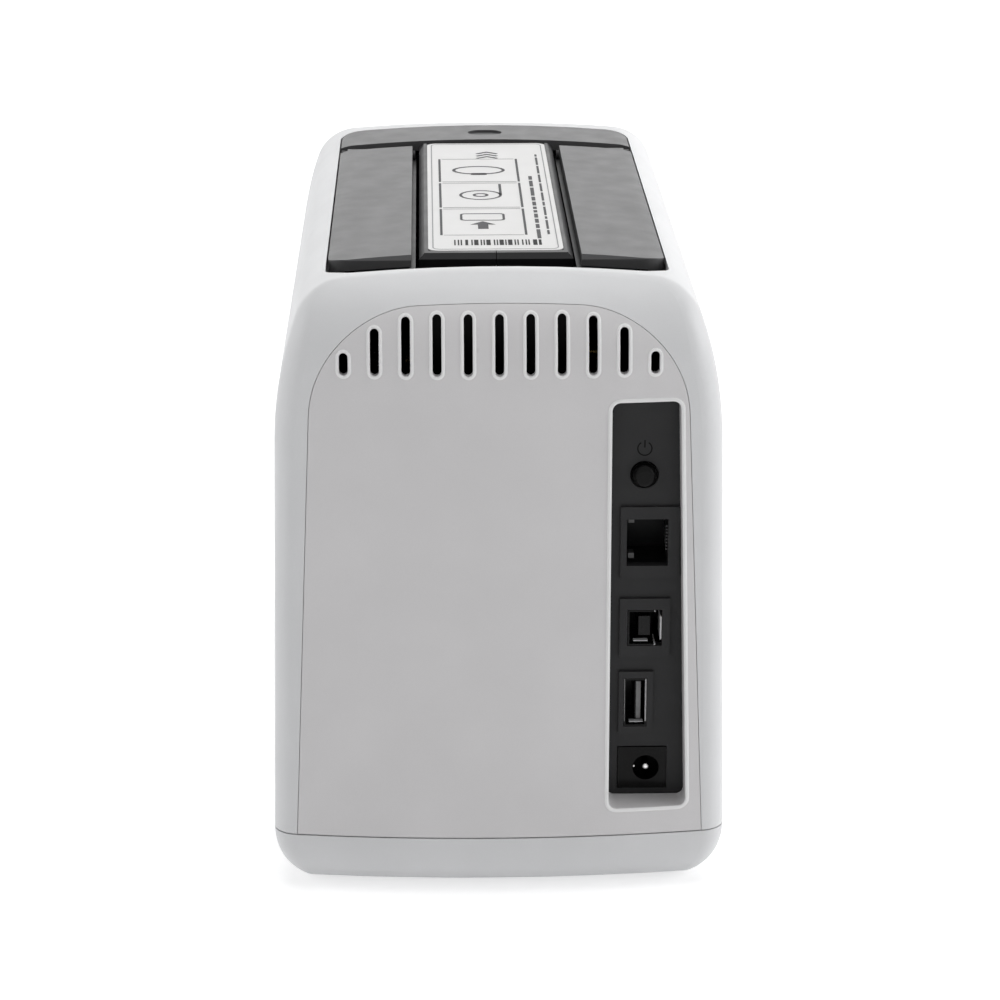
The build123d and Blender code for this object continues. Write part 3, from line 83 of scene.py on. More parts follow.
def mixColours(tree, factor, first, second):
    mix = tree.nodes.new("ShaderNodeMix")
    mix.data_type = "RGBA"
    tree.links.new(factor, mix.inputs[0])
    for socket, colour in ((mix.inputs[6], first), (mix.inputs[7], second)):
        if isinstance(colour, tuple):
            socket.default_value = (*colour, 1)
        else:
            tree.links.new(colour, socket)
    return mix.outputs[2]


def addRelief(tree, shader, height, depth, strength=1.0):
    bump = tree.nodes.new("ShaderNodeBump")
    bump.inputs["Distance"].default_value = depth * mm
    bump.inputs["Strength"].default_value = strength
    tree.links.new(height, bump.inputs["Height"])
    tree.links.new(bump.outputs["Normal"], shader.inputs["Normal"])


def shaded(colour, share):
    return tuple(channel * share for channel in colour)


# Injection-moulded plastic: a spark-eroded grain, a slow drift of tone and uneven gloss
def mouldedPlastic(name, look):
    finish, tree, shader, place = startFinish(name)
    drift = addNoise(tree, place, look["driftSize"], 3)
    colour = look["colour"]
    faded = shaded(colour, 1 - look["drift"])
    tone = mixColours(tree, spreadValue(tree, drift, 0, 1), faded, colour)
    grain = addNoise(tree, place, look["grain"], 2)
    speck = mixColours(tree, spreadValue(tree, grain, 0, look["speck"]), tone, shaded(colour, 0.6))
    tree.links.new(speck, shader.inputs["Base Color"])
    patch = addNoise(tree, place, look["driftSize"] / 3, 4)
    rough = look["rough"]
    tree.links.new(spreadValue(tree, patch, rough * 0.92, rough * 1.1), shader.inputs["Roughness"])
    addRelief(tree, shader, grain, look["depth"])
    shader.inputs["Specular IOR Level"].default_value = look["shine"]
    return finish


# Metal with fine lines along one axis
def brushedMetal(name, look):
    finish, tree, shader, place = startFinish(name)
    lines = addNoise(tree, place, look["line"], 3, look["along"])
    cloud = addNoise(tree, place, look["line"] * 40, 3)
    colour = look["colour"]
    tone = mixColours(tree, spreadValue(tree, lines, 0, 1), shaded(colour, 0.8), colour)
    dulled = mixColours(tree, spreadValue(tree, cloud, 0, 0.3), tone, shaded(colour, 0.75))
    tree.links.new(dulled, shader.inputs["Base Color"])
    rough = look["rough"]
    tree.links.new(spreadValue(tree, lines, rough * 0.8, rough * 1.25), shader.inputs["Roughness"])
    addRelief(tree, shader, lines, look["depth"])
    shader.inputs["Metallic"].default_value = 1.0
    return finish


# Solder mask with copper tracks and pads showing through it
def circuitBoard(name, look):
    finish, tree, shader, place = startFinish(name)
    tracks = tree.nodes.new("ShaderNodeTexBrick")
    mapping = tree.nodes.new("ShaderNodeMapping")
    mapping.inputs["Rotation"].default_value = look["turn"]
    tracks.inputs["Scale"].default_value = 1 / (look["track"] * mm)
    tracks.inputs["Mortar Size"].default_value = 0.07
    tracks.inputs["Mortar Smooth"].default_value = 0.2
    tracks.inputs["Brick Width"].default_value = 2.6
    tracks.inputs["Row Height"].default_value = 0.7
    tree.links.new(place, mapping.inputs["Vector"])
    tree.links.new(mapping.outputs["Vector"], tracks.inputs["Vector"])
    pads = tree.nodes.new("ShaderNodeTexVoronoi")
    pads.inputs["Scale"].default_value = 1 / (look["pad"] * mm)
    tree.links.new(mapping.outputs["Vector"], pads.inputs["Vector"])
    isPad = spreadValue(tree, pads.outputs["Distance"], 1, 0, 0.13, 0.15)
    mask = mixColours(tree, tracks.outputs["Fac"], look["colour"], look["overTrack"])
    tree.links.new(mixColours(tree, isPad, mask, look["copper"]), shader.inputs["Base Color"])
    tree.links.new(spreadValue(tree, isPad, 0.4, 0.28, 0, 1), shader.inputs["Roughness"])
    tree.links.new(isPad, shader.inputs["Metallic"])
    addRelief(tree, shader, tracks.outputs["Fac"], 0.03)
    return finish


# Film wound on a core: rings about the roll's axis, which lies along X
def woundFilm(name, look):
    finish, tree, shader, place = startFinish(name)
    flatten = tree.nodes.new("ShaderNodeVectorMath")
    flatten.operation = "MULTIPLY_ADD"
    flatten.inputs[1].default_value = (0, 1, 1)
    flatten.inputs[2].default_value = (0, -look["axis"][0] * mm, -look["axis"][1] * mm)
    reach = tree.nodes.new("ShaderNodeVectorMath")
    reach.operation = "LENGTH"
    rings = tree.nodes.new("ShaderNodeTexNoise")
    rings.noise_dimensions = "1D"
    rings.inputs["Scale"].default_value = 1 / (look["layer"] * mm)
    rings.inputs["Detail"].default_value = 2
    tree.links.new(place, flatten.inputs[0])
    tree.links.new(flatten.outputs[0], reach.inputs[0])
    tree.links.new(reach.outputs["Value"], rings.inputs["W"])
    layer = spreadValue(tree, rings.outputs["Fac"], 0, 1)
    tone = mixColours(tree, layer, shaded(look["colour"], 0.72), look["colour"])
    tree.links.new(tone, shader.inputs["Base Color"])
    addRelief(tree, shader, rings.outputs["Fac"], 0.15)
    shader.inputs["Roughness"].default_value = 0.45
    return finish


# The usual moulded finish; each plastic below gives only what differs from it
satin = {"grain": 0.35, "depth": 0.012, "drift": 0.04, "driftSize": 22, "speck": 0.05,
         "rough": 0.42, "shine": 0.4}
plastics = {
    "housing_white": {"colour": (0.74, 0.745, 0.755)},
    "rear_grey": {"colour": (0.715, 0.705, 0.712)},
    "cover_grey": {"colour": (0.103, 0.103, 0.105), "grain": 0.5, "depth": 0.02,
                   "drift": 0.015, "shine": 0.22},
    "plate_dark": {"colour": (0.027, 0.027, 0.028), "rough": 0.5, "shine": 0.22, "speck": 0.3},
    "black_plastic": {"colour": (0.009, 0.009, 0.010), "rough": 0.36, "shine": 0.14,
                      "speck": 0.3},
    "gloss_black": {"colour": (0.003, 0.003, 0.003), "rough": 0.16, "shine": 0.12, "depth": 0.002},
    # whiter than the panel: a painted highlight for the rims' lit edges
    "rim_painted_highlight": {"colour": (0.88, 0.88, 0.88), "rough": 0.36},
    "pin_grey": {"colour": (0.075, 0.075, 0.075), "rough": 0.3},
    "button_grey": {"colour": (0.55, 0.56, 0.57), "rough": 0.34},
    "light_pipe": {"colour": (0.66, 0.74, 0.68), "rough": 0.15, "depth": 0.002},
    "label_paper": {"colour": (0.74, 0.735, 0.73), "grain": 0.18, "rough": 0.4, "drift": 0.03},
    "band_white": {"colour": (0.78, 0.78, 0.76), "grain": 0.2, "rough": 0.3},
    "core_card": {"colour": (0.42, 0.30, 0.18), "grain": 0.5, "depth": 0.05, "rough": 0.85,
                  "speck": 0.3},
    "ceramic": {"colour": (0.72, 0.70, 0.62), "rough": 0.18, "depth": 0.003},
    "rubber": {"colour": (0.012, 0.012, 0.012), "rough": 0.8, "shine": 0.3, "depth": 0.03,
               "speck": 0.3},
    "gear_plastic": {"colour": (0.70, 0.69, 0.62), "rough": 0.3, "depth": 0.005},
    "motor_case": {"colour": (0.02, 0.02, 0.022), "rough": 0.4, "depth": 0.02},
    "chip_black": {"colour": (0.014, 0.014, 0.014), "rough": 0.55, "depth": 0.02},
}
metals = {
    "steel": {"colour": (0.50, 0.50, 0.51), "line": 0.25, "along": (1, 20, 1),
              "rough": 0.3, "depth": 0.004},
    "screw_steel": {"colour": (0.42, 0.42, 0.42), "line": 0.3, "along": (1, 1, 1),
                    "rough": 0.35, "depth": 0.01},
    "spring_steel": {"colour": (0.45, 0.45, 0.46), "line": 0.1, "along": (4, 4, 1),
                     "rough": 0.25, "depth": 0.003},
    "aluminium": {"colour": (0.66, 0.66, 0.67), "line": 0.3, "along": (16, 1, 1),
                  "rough": 0.32, "depth": 0.006},
    "brass": {"colour": (0.60, 0.42, 0.16), "line": 0.15, "along": (1, 6, 6),
              "rough": 0.25, "depth": 0.004},
    "bright_steel": {"colour": (0.88, 0.88, 0.88), "line": 0.4, "along": (1, 1, 1),
                     "rough": 0.14, "depth": 0.001},
}
boards = {"track": 2.6, "pad": 4.5, "turn": (0, radians(90), 0),
          "colour": (0.010, 0.085, 0.030), "overTrack": (0.022, 0.16, 0.055),
          "copper": (0.72, 0.55, 0.30)}
windings = {"axis": (8.0, 104.0), "layer": 0.5, "colour": (0.78, 0.78, 0.76)}

finishes = {name: mouldedPlastic(name, {**satin, **look}) for name, look in plastics.items()}
finishes.update({name: brushedMetal(name, look) for name, look in metals.items()})
finishes["board_green"] = circuitBoard("board_green", boards)
finishes["wound_band"] = woundFilm("wound_band", windings)


# A socket whose shell is painted near black as painted shade for its dark inside, which in part
# is its black plastic insert, with zones painted in lighter tones as painted highlights on the
# walls that catch light; a zone is the middle and half size along each axis
socketShellAndShade = {"colour": (0.006, 0.006, 0.006), "cloud": 1.5, "wear": 0.25, "rough": (0.24, 0.34),
               "shine": 0.15}
socketPaintedLight = {
    "usb_b_socket": [
        {"x": (-44.4, 1.4), "y": (105.6, 4.2), "z": (75.2, 6.0), "colour": (0.85, 0.85, 0.85)},
        {"x": (-40.4, 1.7), "y": (103.0, 6.0), "z": (75.2, 2.9), "colour": (0.014, 0.014, 0.014)},
    ],
    "usb_a_socket": [
        {"x": (-39.3, 0.9), "y": (103.0, 6.0), "z": (53.0, 5.7), "colour": (0.32, 0.32, 0.32)},
        {"x": (-41.2, 0.45), "y": (105.0, 5.0), "z": (54.0, 6.6), "colour": (0.55, 0.55, 0.55)},
        {"x": (-34.9, 0.22), "y": (105.0, 5.0), "z": (54.0, 6.6), "colour": (0.30, 0.30, 0.30)},
    ],
}


# 1 inside the zone and 0 outside it
def zoneMask(tree, axes, zone):
    inside = None
    for axis in ("X", "Y", "Z"):
        middle, half = zone[axis.lower()]
        near = tree.nodes.new("ShaderNodeMath")
        near.operation = "COMPARE"
        near.inputs[1].default_value = middle * mm
        near.inputs[2].default_value = half * mm
        tree.links.new(axes.outputs[axis], near.inputs[0])
        if inside:
            both = tree.nodes.new("ShaderNodeMath")
            both.operation = "MULTIPLY"
            tree.links.new(inside, both.inputs[0])
            tree.links.new(near.outputs[0], both.inputs[1])
            near = both
        inside = near.outputs[0]
    return inside


def paintedLightSocket(name, paintedZones):
    finish, tree, shader, place = startFinish(name)
    axes = tree.nodes.new("ShaderNodeSeparateXYZ")
    tree.links.new(place, axes.inputs[0])
    # painted shade: the near-black shell colour stands for the shade inside the socket
    colour = socketShellAndShade["colour"]
    for zone in paintedZones:
        # each zone paints its tone over the shell: the bright and grey walls are painted highlights
        colour = mixColours(tree, zoneMask(tree, axes, zone), colour, zone["colour"])
    cloud = addNoise(tree, place, socketShellAndShade["cloud"], 3)
    wear = spreadValue(tree, cloud, 0, socketShellAndShade["wear"])
    worn = mixColours(tree, wear, colour, (0.0, 0.0, 0.0))
    tree.links.new(worn, shader.inputs["Base Color"])
    gloss = spreadValue(tree, cloud, *socketShellAndShade["rough"])
    tree.links.new(gloss, shader.inputs["Roughness"])
    shader.inputs["Specular IOR Level"].default_value = socketShellAndShade["shine"]
    return finish


for name, paintedZones in socketPaintedLight.items():
    finishes[name] = paintedLightSocket(name, paintedZones)
print("finishes made:", len(finishes))


def dress(piece, finish):
    if not piece.material_slots:
        piece.data.materials.append(None)
    for place in piece.material_slots:
        place.link = "OBJECT"
        place.material = finish


for entry in frame["record"]["subparts"]:
    dress(nodes[entry["node"]], finishes[entry["material_slot"]])
for name, finish in (("band_roll", "wound_band"), ("usb_b_socket", "usb_b_socket"),
                     ("usb_a_socket", "usb_a_socket"), ("dc_power_socket", "gloss_black")):
    dress(nodes[name], finishes[finish])
print("model dressed")


# A closed prism over an outline, and over the strip between two outlines of as many points
def addPrism(mesh, outline, low, high):
    foot = [mesh.verts.new((x, y, low)) for x, y in outline]
    top = [mesh.verts.new((x, y, high)) for x, y in outline]
    mesh.faces.new(top)
    mesh.faces.new(foot[::-1])
    for at in range(len(outline)):
        after = (at + 1) % len(outline)
        mesh.faces.new((foot[at], foot[after], top[after], top[at]))


def addBand(mesh, outer, inner, low, high):
    rings = [[mesh.verts.new((x, y, z)) for x, y in ring]
             for ring, z in ((outer, low), (outer, high), (inner, high), (inner, low))]
    for at in range(len(outer)):
        after = (at + 1) % len(outer)
        for side in range(4):
            here, there = rings[side], rings[(side + 1) % 4]
            mesh.faces.new((here[at], here[after], there[after], there[at]))


def circlePoints(x, y, radius, start=0, turn=360, steps=24):
    count = steps if turn == 360 else steps + 1
    return [(x + radius * cos(radians(start + turn * at / steps)),
             y + radius * sin(radians(start + turn * at / steps))) for at in range(count)]


def boxPoints(x, y, width, length):
    return [(x - width / 2, y - length / 2), (x + width / 2, y - length / 2),
            (x + width / 2, y + length / 2), (x - width / 2, y + length / 2)]


def roundedPoints(x, y, width, length, radius, steps=5):
    points = []
    for start, side, end in ((270, 1, -1), (0, 1, 1), (90, -1, 1), (180, -1, -1)):
        middle = (x + side * (width / 2 - radius), y + end * (length / 2 - radius))
        points += circlePoints(*middle, radius, start, 90, steps)
    return points


# A stroke of even width along a few points, with mitred turns
def strokePoints(points, width):
    left, right = [], []
    for at, point in enumerate(points):
        here = Vector(point)
        before = (here - Vector(points[at - 1])).normalized() if at else None
        after = (Vector(points[at + 1]) - here).normalized() if at + 1 < len(points) else None
        along = ((before or after) + (after or before)).normalized()
        across = Vector((-along.y, along.x))
        edge = after or before
        reach = width / 2 / max(across.dot(Vector((-edge.y, edge.x))), 0.4)
        left.append(tuple(here + across * reach))
        right.append(tuple(here - across * reach))
    return right + left[::-1]


# Turns a drawn mesh into a piece on its face of the printer
def placePiece(name, mesh, turn, finish, body):
    bmesh.ops.recalc_face_normals(mesh, faces=mesh.faces)
    data = bpy.data.meshes.new(name)
    mesh.to_mesh(data)
    mesh.free()
    data.transform(turn @ Matrix.Scale(mm, 4))
    piece = bpy.data.objects.new(name, data)
    scene.collection.objects.link(piece)
    data.materials.append(finish)
    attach(piece, body)
    return piece


def facing(x, y, z, right, up):
    out = Vector(right).cross(Vector(up))
    turn = Matrix((right, up, out)).transposed().to_4x4()
    return Matrix.Translation(Vector((x, y, z)) * mm) @ turn


# The label on the cartridge: ruled frames, plain line drawings, an arrow and a bar strip
label = {"top": 174.7, "lift": 0.02, "ink": 0.03, "seed": 7,
         "grey": (0.10, 0.10, 0.105), "black": (0.012, 0.012, 0.013), "pale": (0.34, 0.34, 0.35),
         "frameX": 3.0, "frameWidth": 24.0, "frameLength": 33.0, "line": 0.7,
         "frameMiddles": (41.0, 6.0, -29.0),
         "border": (35.2, 143.0, 2.2), "borderInside": (34.6, 142.4, 1.9), "borderY": 3.0}
bars = {"middle": 66.6, "length": 6.4, "span": (-13.0, 11.6),
        "widths": (0.4, 0.4, 0.8, 1.2), "gaps": (0.4, 0.6, 0.9)}
wordRules = {"lines": ((-12.6, 1.1, -20.0), (-15.4, 0.7, -52.0)), "end": 56.0,
             "lengths": (3.0, 5.0, 8.0, 11.0), "gap": 1.6}
chevrons = {"count": 3, "first": -56.0, "pitch": 3.4, "half": 3.2, "rise": 2.6, "line": 1.1}
inkLook = {"cloud": 0.6, "fade": 0.85, "rough": 0.6, "shine": 0.1}


def inkFinish(name, colour):
    finish, tree, shader, place = startFinish(name)
    cloud = addNoise(tree, place, inkLook["cloud"], 2)
    faded = shaded(colour, inkLook["fade"])
    tone = mixColours(tree, spreadValue(tree, cloud, 0, 1), faded, colour)
    tree.links.new(tone, shader.inputs["Base Color"])
    shader.inputs["Roughness"].default_value = inkLook["rough"]
    shader.inputs["Specular IOR Level"].default_value = inkLook["shine"]
    return finish


inks = {shade: inkFinish("ink_" + shade, label[shade]) for shade in ("black", "grey", "pale")}
labelFace = facing(0, 0, label["top"] + label["lift"], (1, 0, 0), (0, 1, 0))


def placeInk(name, mesh, shade):
    placePiece(name, mesh, labelFace, inks[shade], "cartridge")


def drawBars():
    mesh = bmesh.new()
    draw = random.Random(label["seed"])
    x, end = bars["span"]
    while x < end:
        width = draw.choice(bars["widths"])
        bar = boxPoints(x + width / 2, bars["middle"], width, bars["length"])
        addPrism(mesh, bar, 0, label["ink"])
        x += width + draw.choice(bars["gaps"])
    placeInk("labelBars", mesh, "black")


def drawFrames():
    mesh = bmesh.new()
    line, width, length = label["line"], label["frameWidth"], label["frameLength"]
    for middle in label["frameMiddles"]:
        for side in (-1, 1):
            x = label["frameX"] + side * width / 2
            addPrism(mesh, boxPoints(x, middle, line, length), 0, label["ink"])
    placeInk("labelRules", mesh, "grey")
    mesh = bmesh.new()
    outer = roundedPoints(0, label["borderY"], *label["border"])
    inner = roundedPoints(0, label["borderY"], *label["borderInside"])
    addBand(mesh, outer, inner, 0, label["ink"])
    for middle in label["frameMiddles"]:
        for end in (-1, 1):
            y = middle + end * length / 2
            rule = boxPoints(label["frameX"], y, width - 2 * line, line / 2)
            addPrism(mesh, rule, 0, label["ink"])
    placeInk("labelFrames", mesh, "pale")


# Three line drawings: a cartridge going in, a roll with its band, and a closed band. Sizes are
# offsets from the middle of the frame that holds the drawing
pictures = {"boxY": -6, "boxOuter": (13, 9, 1.6), "boxInner": (11.6, 7.6, 1.0),
            "arrow": ((-1.5, 9), (-1.5, 3.6), (-3.6, 3.6), (0, -0.4),
                      (3.6, 3.6), (1.5, 3.6), (1.5, 9)),
            "rollRings": ((6.4, 5.6), (2.4, 1.5)), "tail": (-6.0, -7.5, 0.8, 15),
            "bandOuter": (8.2, 6.0), "bandInner": (7.2, 5.0), "clasp": (5.5, 5.0, 2.6, 0.8),
            "steps": 24}


def ovalPoints(x, y, reachX, reachY):
    turns = [tau * at / pictures["steps"] for at in range(pictures["steps"])]
    return [(x + reachX * cos(turn), y + reachY * sin(turn)) for turn in turns]


def drawPictures():
    ink, x = label["ink"], label["frameX"]
    near, middle, far = label["frameMiddles"]
    mesh = bmesh.new()
    boxY = near + pictures["boxY"]
    boxOuter = roundedPoints(x, boxY, *pictures["boxOuter"])
    addBand(mesh, boxOuter, roundedPoints(x, boxY, *pictures["boxInner"]), 0, ink)
    addPrism(mesh, [(x + right, near + up) for right, up in pictures["arrow"]], 0, ink)
    for outer, inner in pictures["rollRings"]:
        addBand(mesh, circlePoints(x, middle, outer), circlePoints(x, middle, inner), 0, ink)
    tailX, tailY, tailWidth, tailLength = pictures["tail"]
    addPrism(mesh, boxPoints(x + tailX, middle + tailY, tailWidth, tailLength), 0, ink)
    bandOuter = ovalPoints(x, far, *pictures["bandOuter"])
    addBand(mesh, bandOuter, ovalPoints(x, far, *pictures["bandInner"]), 0, ink)
    claspY, *claspSize = pictures["clasp"]
    addPrism(mesh, roundedPoints(x, far + claspY, *claspSize), 0, ink)
    placeInk("labelDrawings", mesh, "grey")


# Plain rules where the long side carries words, and chevrons towards the front
def drawRules():
    mesh = bmesh.new()
    draw = random.Random(label["seed"] + 1)
    for x, width, y in wordRules["lines"]:
        while y < wordRules["end"]:
            length = draw.choice(wordRules["lengths"])
            addPrism(mesh, boxPoints(x, y + length / 2, width, length), 0, label["ink"])
            y += length + wordRules["gap"]
    placeInk("labelLines", mesh, "grey")
    mesh = bmesh.new()
    half, rise = chevrons["half"], chevrons["rise"]
    for step in range(chevrons["count"]):
        y = chevrons["first"] + chevrons["pitch"] * step
        stroke = strokePoints([(-half, y + rise), (0, y), (half, y + rise)], chevrons["line"])
        addPrism(mesh, stroke, 0, label["ink"])
    placeInk("labelChevrons", mesh, "grey")


drawBars()
drawFrames()
drawPictures()
drawRules()
print("label drawn")

# The rear wall's surface: a bow that leans inwards and turns over into the top
shell = {"bow": 402.556, "middle": -282.056, "lean": radians(1.15), "foot": 17.0,
         "round": 24.0, "roundZ": 152.5}


def rearWall(x, z):
    rise = z - shell["roundZ"]
    reach = shell["bow"] - (z - shell["foot"]) * tan(shell["lean"])
    tilt = shell["lean"]
    if rise > shell["round"] * sin(shell["lean"]):
        inner = shell["bow"] - (shell["roundZ"] - shell["foot"]) * tan(shell["lean"])
        reach = inner - shell["round"] / cos(shell["lean"]) + sqrt(shell["round"] ** 2 - rise ** 2)
        tilt = asin(rise / shell["round"])
    turn = asin(x / reach)
    place = Vector((x, shell["middle"] + reach * cos(turn), z))
    return place, Vector((sin(turn) * cos(tilt), cos(turn) * cos(tilt), sin(tilt)))


# A raised bead of even width along a closed line on the rear wall
def addBead(mesh, line, width, proud, steps=8):
    rings = []
    for at, (x, z) in enumerate(line):
        before, after = Vector(line[at - 1]), Vector(line[(at + 1) % len(line)])
        along = (after - before).normalized()
        ring = []
        for step in range(steps):
            side = width / 2 * cos(tau * step / steps)
            place, out = rearWall(x + along.y * side, z - along.x * side)
            ring.append(mesh.verts.new(place + out * proud * sin(tau * step / steps)))
        rings.append(ring)
    for at, here in enumerate(rings):
        there = rings[(at + 1) % len(rings)]
        for step in range(steps):
            after = (step + 1) % steps
            mesh.faces.new((here[step], here[after], there[after], there[step]))


# The corners of an outline, each turned into an arc
def softPoints(corners, radius, steps=5):
    points = []
    for at, corner in enumerate(corners):
        here = Vector(corner)
        back = (Vector(corners[at - 1]) - here).normalized()
        ahead = (Vector(corners[(at + 1) % len(corners)]) - here).normalized()
        half = back.angle(ahead) / 2
        centre = here + (back + ahead).normalized() * radius / sin(half)
        first = here + back * radius / tan(half) - centre
        last = here + ahead * radius / tan(half) - centre
        for step in range(steps + 1):
            way = first.slerp(last, step / steps)
            points.append(tuple(centre + way.normalized() * radius))
    return points


# The raised rims round the vents, under the rear panel's arched top, and round the recess; their
# white, lighter than the panel's, is a painted highlight on edges that catch light
rims = {"count": 11, "pitch": 8.35, "width": 2.4, "low": 150.2, "margin": 2.4, "step": 1.5,
        "top": 168.7, "foot": 56.6, "slope": radians(2.5), "corner": 31.0,
        "bead": 0.9, "proud": 0.3,
        "recess": [(-30.3, 25.0), (-30.3, 142.3), (-48.9, 142.3), (-52.0, 25.0)],
        "recessCorner": 2.2, "recessBead": 1.1, "recessProud": 0.3, "recessStep": 4}


def drawVentRims():
    mesh = bmesh.new()
    for count in range(rims["count"]):
        x = (count - (rims["count"] - 1) / 2) * rims["pitch"]
        drawnIn = (rims["top"] - shell["foot"]) * tan(rims["slope"])
        past = max(abs(x) - rims["foot"] + drawnIn + rims["corner"], 0)
        high = rims["top"] - rims["corner"] + sqrt(rims["corner"] ** 2 - past ** 2) - rims["margin"]
        radius = rims["width"] / 2 + rims["bead"] / 2
        top, low = high - rims["width"] / 2, rims["low"] + rims["width"] / 2
        sides = max(int((top - low) / rims["step"]), 1)
        line = circlePoints(x, top, radius, 0, 180, 10)
        line += [(x - radius, top + (low - top) * at / sides) for at in range(1, sides)]
        line += circlePoints(x, low, radius, 180, 180, 10)
        line += [(x + radius, low + (top - low) * at / sides) for at in range(1, sides)]
        addBead(mesh, line, rims["bead"], rims["proud"])
    placePiece("ventRimsPaintedHighlight", mesh, Matrix(), finishes["rim_painted_highlight"], "printer")


def drawRecessRim():
    mesh = bmesh.new()
    corners = [Vector(corner) for corner in rims["recess"]]
    middle = sum(corners, Vector((0, 0))) / 4
    grown = []
    for corner in corners:
        away = Vector((1 if corner.x > middle.x else -1, 1 if corner.y > middle.y else -1))
        grown.append(tuple(corner + away * rims["recessBead"] / 2))
    line = []
    soft = softPoints(grown, rims["recessCorner"] + rims["recessBead"] / 2)
    for at, point in enumerate(soft):
        after = Vector(soft[(at + 1) % len(soft)])
        parts = max(int((after - Vector(point)).length / rims["recessStep"]), 1)
        line += [tuple(Vector(point).lerp(after, part / parts)) for part in range(parts)]
    addBead(mesh, line, rims["recessBead"], rims["recessProud"])
    placePiece("recessRimPaintedHighlight", mesh, Matrix(), finishes["rim_painted_highlight"], "printer")


drawVentRims()
drawRecessRim()
print("rims drawn")

# Small parts inside the connectors; a pair is the low and the high end along one axis
ports = {"pinCount": 8, "pinLow": 97.4, "pinPitch": 0.95, "pinHeight": 0.4,
         "pinX": (-46.45, -45.95), "pinY": (100.0, 107.4),
         "springLows": (94.7, 105.0), "springHeight": 1.5,
         "springX": (-37.3, -35.7), "springY": (103.0, 106.4),
         "usbX": ((-41.3, -37.3), (-40.3, -36.4)), "usbY": (107.2, 109.0),
         "usbZ": ((71.15, 71.4), (46.95, 47.2)),
         "contacts": ((1.08, -41.3, 107.7), (0.5, -37.95, 107.6)), "contactZ": 33.1}


def addBlock(mesh, x, y, z):
    corners = [mesh.verts.new((a, b, c)) for a in x for b in y for c in z]
    sides = ((0, 1, 3, 2), (4, 6, 7, 5), (0, 4, 5, 1), (2, 3, 7, 6), (0, 2, 6, 4), (1, 5, 7, 3))
    for side in sides:
        mesh.faces.new([corners[at] for at in side])


def drawPortMetal():
    mesh = bmesh.new()
    for count in range(ports["pinCount"]):
        low = ports["pinLow"] + count * ports["pinPitch"]
        addBlock(mesh, ports["pinX"], ports["pinY"], (low, low + ports["pinHeight"]))
    placePiece("networkPins", mesh, Matrix(), finishes["pin_grey"], "printer")
    mesh = bmesh.new()
    for low in ports["springLows"]:
        addBlock(mesh, ports["springX"], ports["springY"], (low, low + ports["springHeight"]))
    placePiece("networkSprings", mesh, Matrix(), finishes["pin_grey"], "printer")
    mesh = bmesh.new()
    for x, z in zip(ports["usbX"], ports["usbZ"]):
        addBlock(mesh, x, ports["usbY"], z)
    placePiece("usbSprings", mesh, Matrix(), finishes["button_grey"], "printer")
    mesh = bmesh.new()
    for radius, x, y in ports["contacts"]:
        bmesh.ops.create_uvsphere(mesh, u_segments=24, v_segments=14, radius=radius,
                                  matrix=Matrix.Translation((x, y, ports["contactZ"])))
    placePiece("dcContacts", mesh, Matrix(), finishes["bright_steel"], "printer")


drawPortMetal()
print("connector parts drawn")

# The on and off sign over the power button, seen from behind, and signs on the front buttons
signs = {"x": -39.75, "z": 127.0, "face": 108.5, "radius": 2.1, "line": 0.34, "ink": 0.03,
         "gap": 64, "steps": 28, "strokeY": 1.35, "strokeLength": 2.1,
         "pauseX": 14.0, "feedX": -14.0, "buttonZ": 134.0,
         "pauseSide": 1.2, "pauseBar": (1.1, 4.4, 0.3),
         "feedArrow": ((-2.2, 0.2), (2.2, 0.2), (0, 2.8)), "feedBar": (0, -1.2, 4.4, 1.0)}
signInk = inkFinish("sign_ink", (0.002, 0.002, 0.002))


def drawPowerSign():
    mesh = bmesh.new()
    start, turn = 90 + signs["gap"] / 2, 360 - signs["gap"]
    outer = circlePoints(0, 0, signs["radius"], start, turn, signs["steps"])
    inner = circlePoints(0, 0, signs["radius"] - signs["line"], start, turn, signs["steps"])
    addPrism(mesh, outer + inner[::-1], 0, signs["ink"])
    stroke = boxPoints(0, signs["strokeY"], signs["line"], signs["strokeLength"])
    addPrism(mesh, stroke, 0, signs["ink"])
    face = facing(signs["x"], signs["face"], signs["z"], (-1, 0, 0), (0, 0, 1))
    placePiece("powerSign", mesh, face, signInk, "printer")


def drawButtonSigns():
    for name, x in (("pause", signs["pauseX"]), ("feed", signs["feedX"])):
        node = name + "_button"
        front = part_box(node)[0].y / mm
        mesh = bmesh.new()
        if name == "pause":
            for side in (-1, 1):
                bar = roundedPoints(side * signs["pauseSide"], 0, *signs["pauseBar"])
                addPrism(mesh, bar, 0, signs["ink"])
        else:
            addPrism(mesh, signs["feedArrow"], 0, signs["ink"])
            addPrism(mesh, boxPoints(*signs["feedBar"]), 0, signs["ink"])
        face = facing(x, front, signs["buttonZ"], (1, 0, 0), (0, 0, 1))
        placePiece(name + "Sign", mesh, face, inks["grey"], node)


drawPowerSign()
drawButtonSigns()
print("signs drawn")

# Floor, world and lights
studio = {"floor": (0.80, 0.80, 0.805), "floorSize": 8.0, "cloud": 400, "fade": 0.99,
          "rough": 0.7, "shine": 0.1, "glow": 0.50, "bounce": 0.20, "skyLight": 0.17}


# Whether a ray comes straight from the camera, or by way of a gloss or of glass
def seenBy(tree):
    path = tree.nodes.new("ShaderNodeLightPath")
    seen = path.outputs["Is Camera Ray"]
    for ray in ("Is Glossy Ray", "Is Transmission Ray"):
        either = tree.nodes.new("ShaderNodeMath")
        either.operation = "MAXIMUM"
        tree.links.new(seen, either.inputs[0])
        tree.links.new(path.outputs[ray], either.inputs[1])
        seen = either.outputs[0]
    return seen


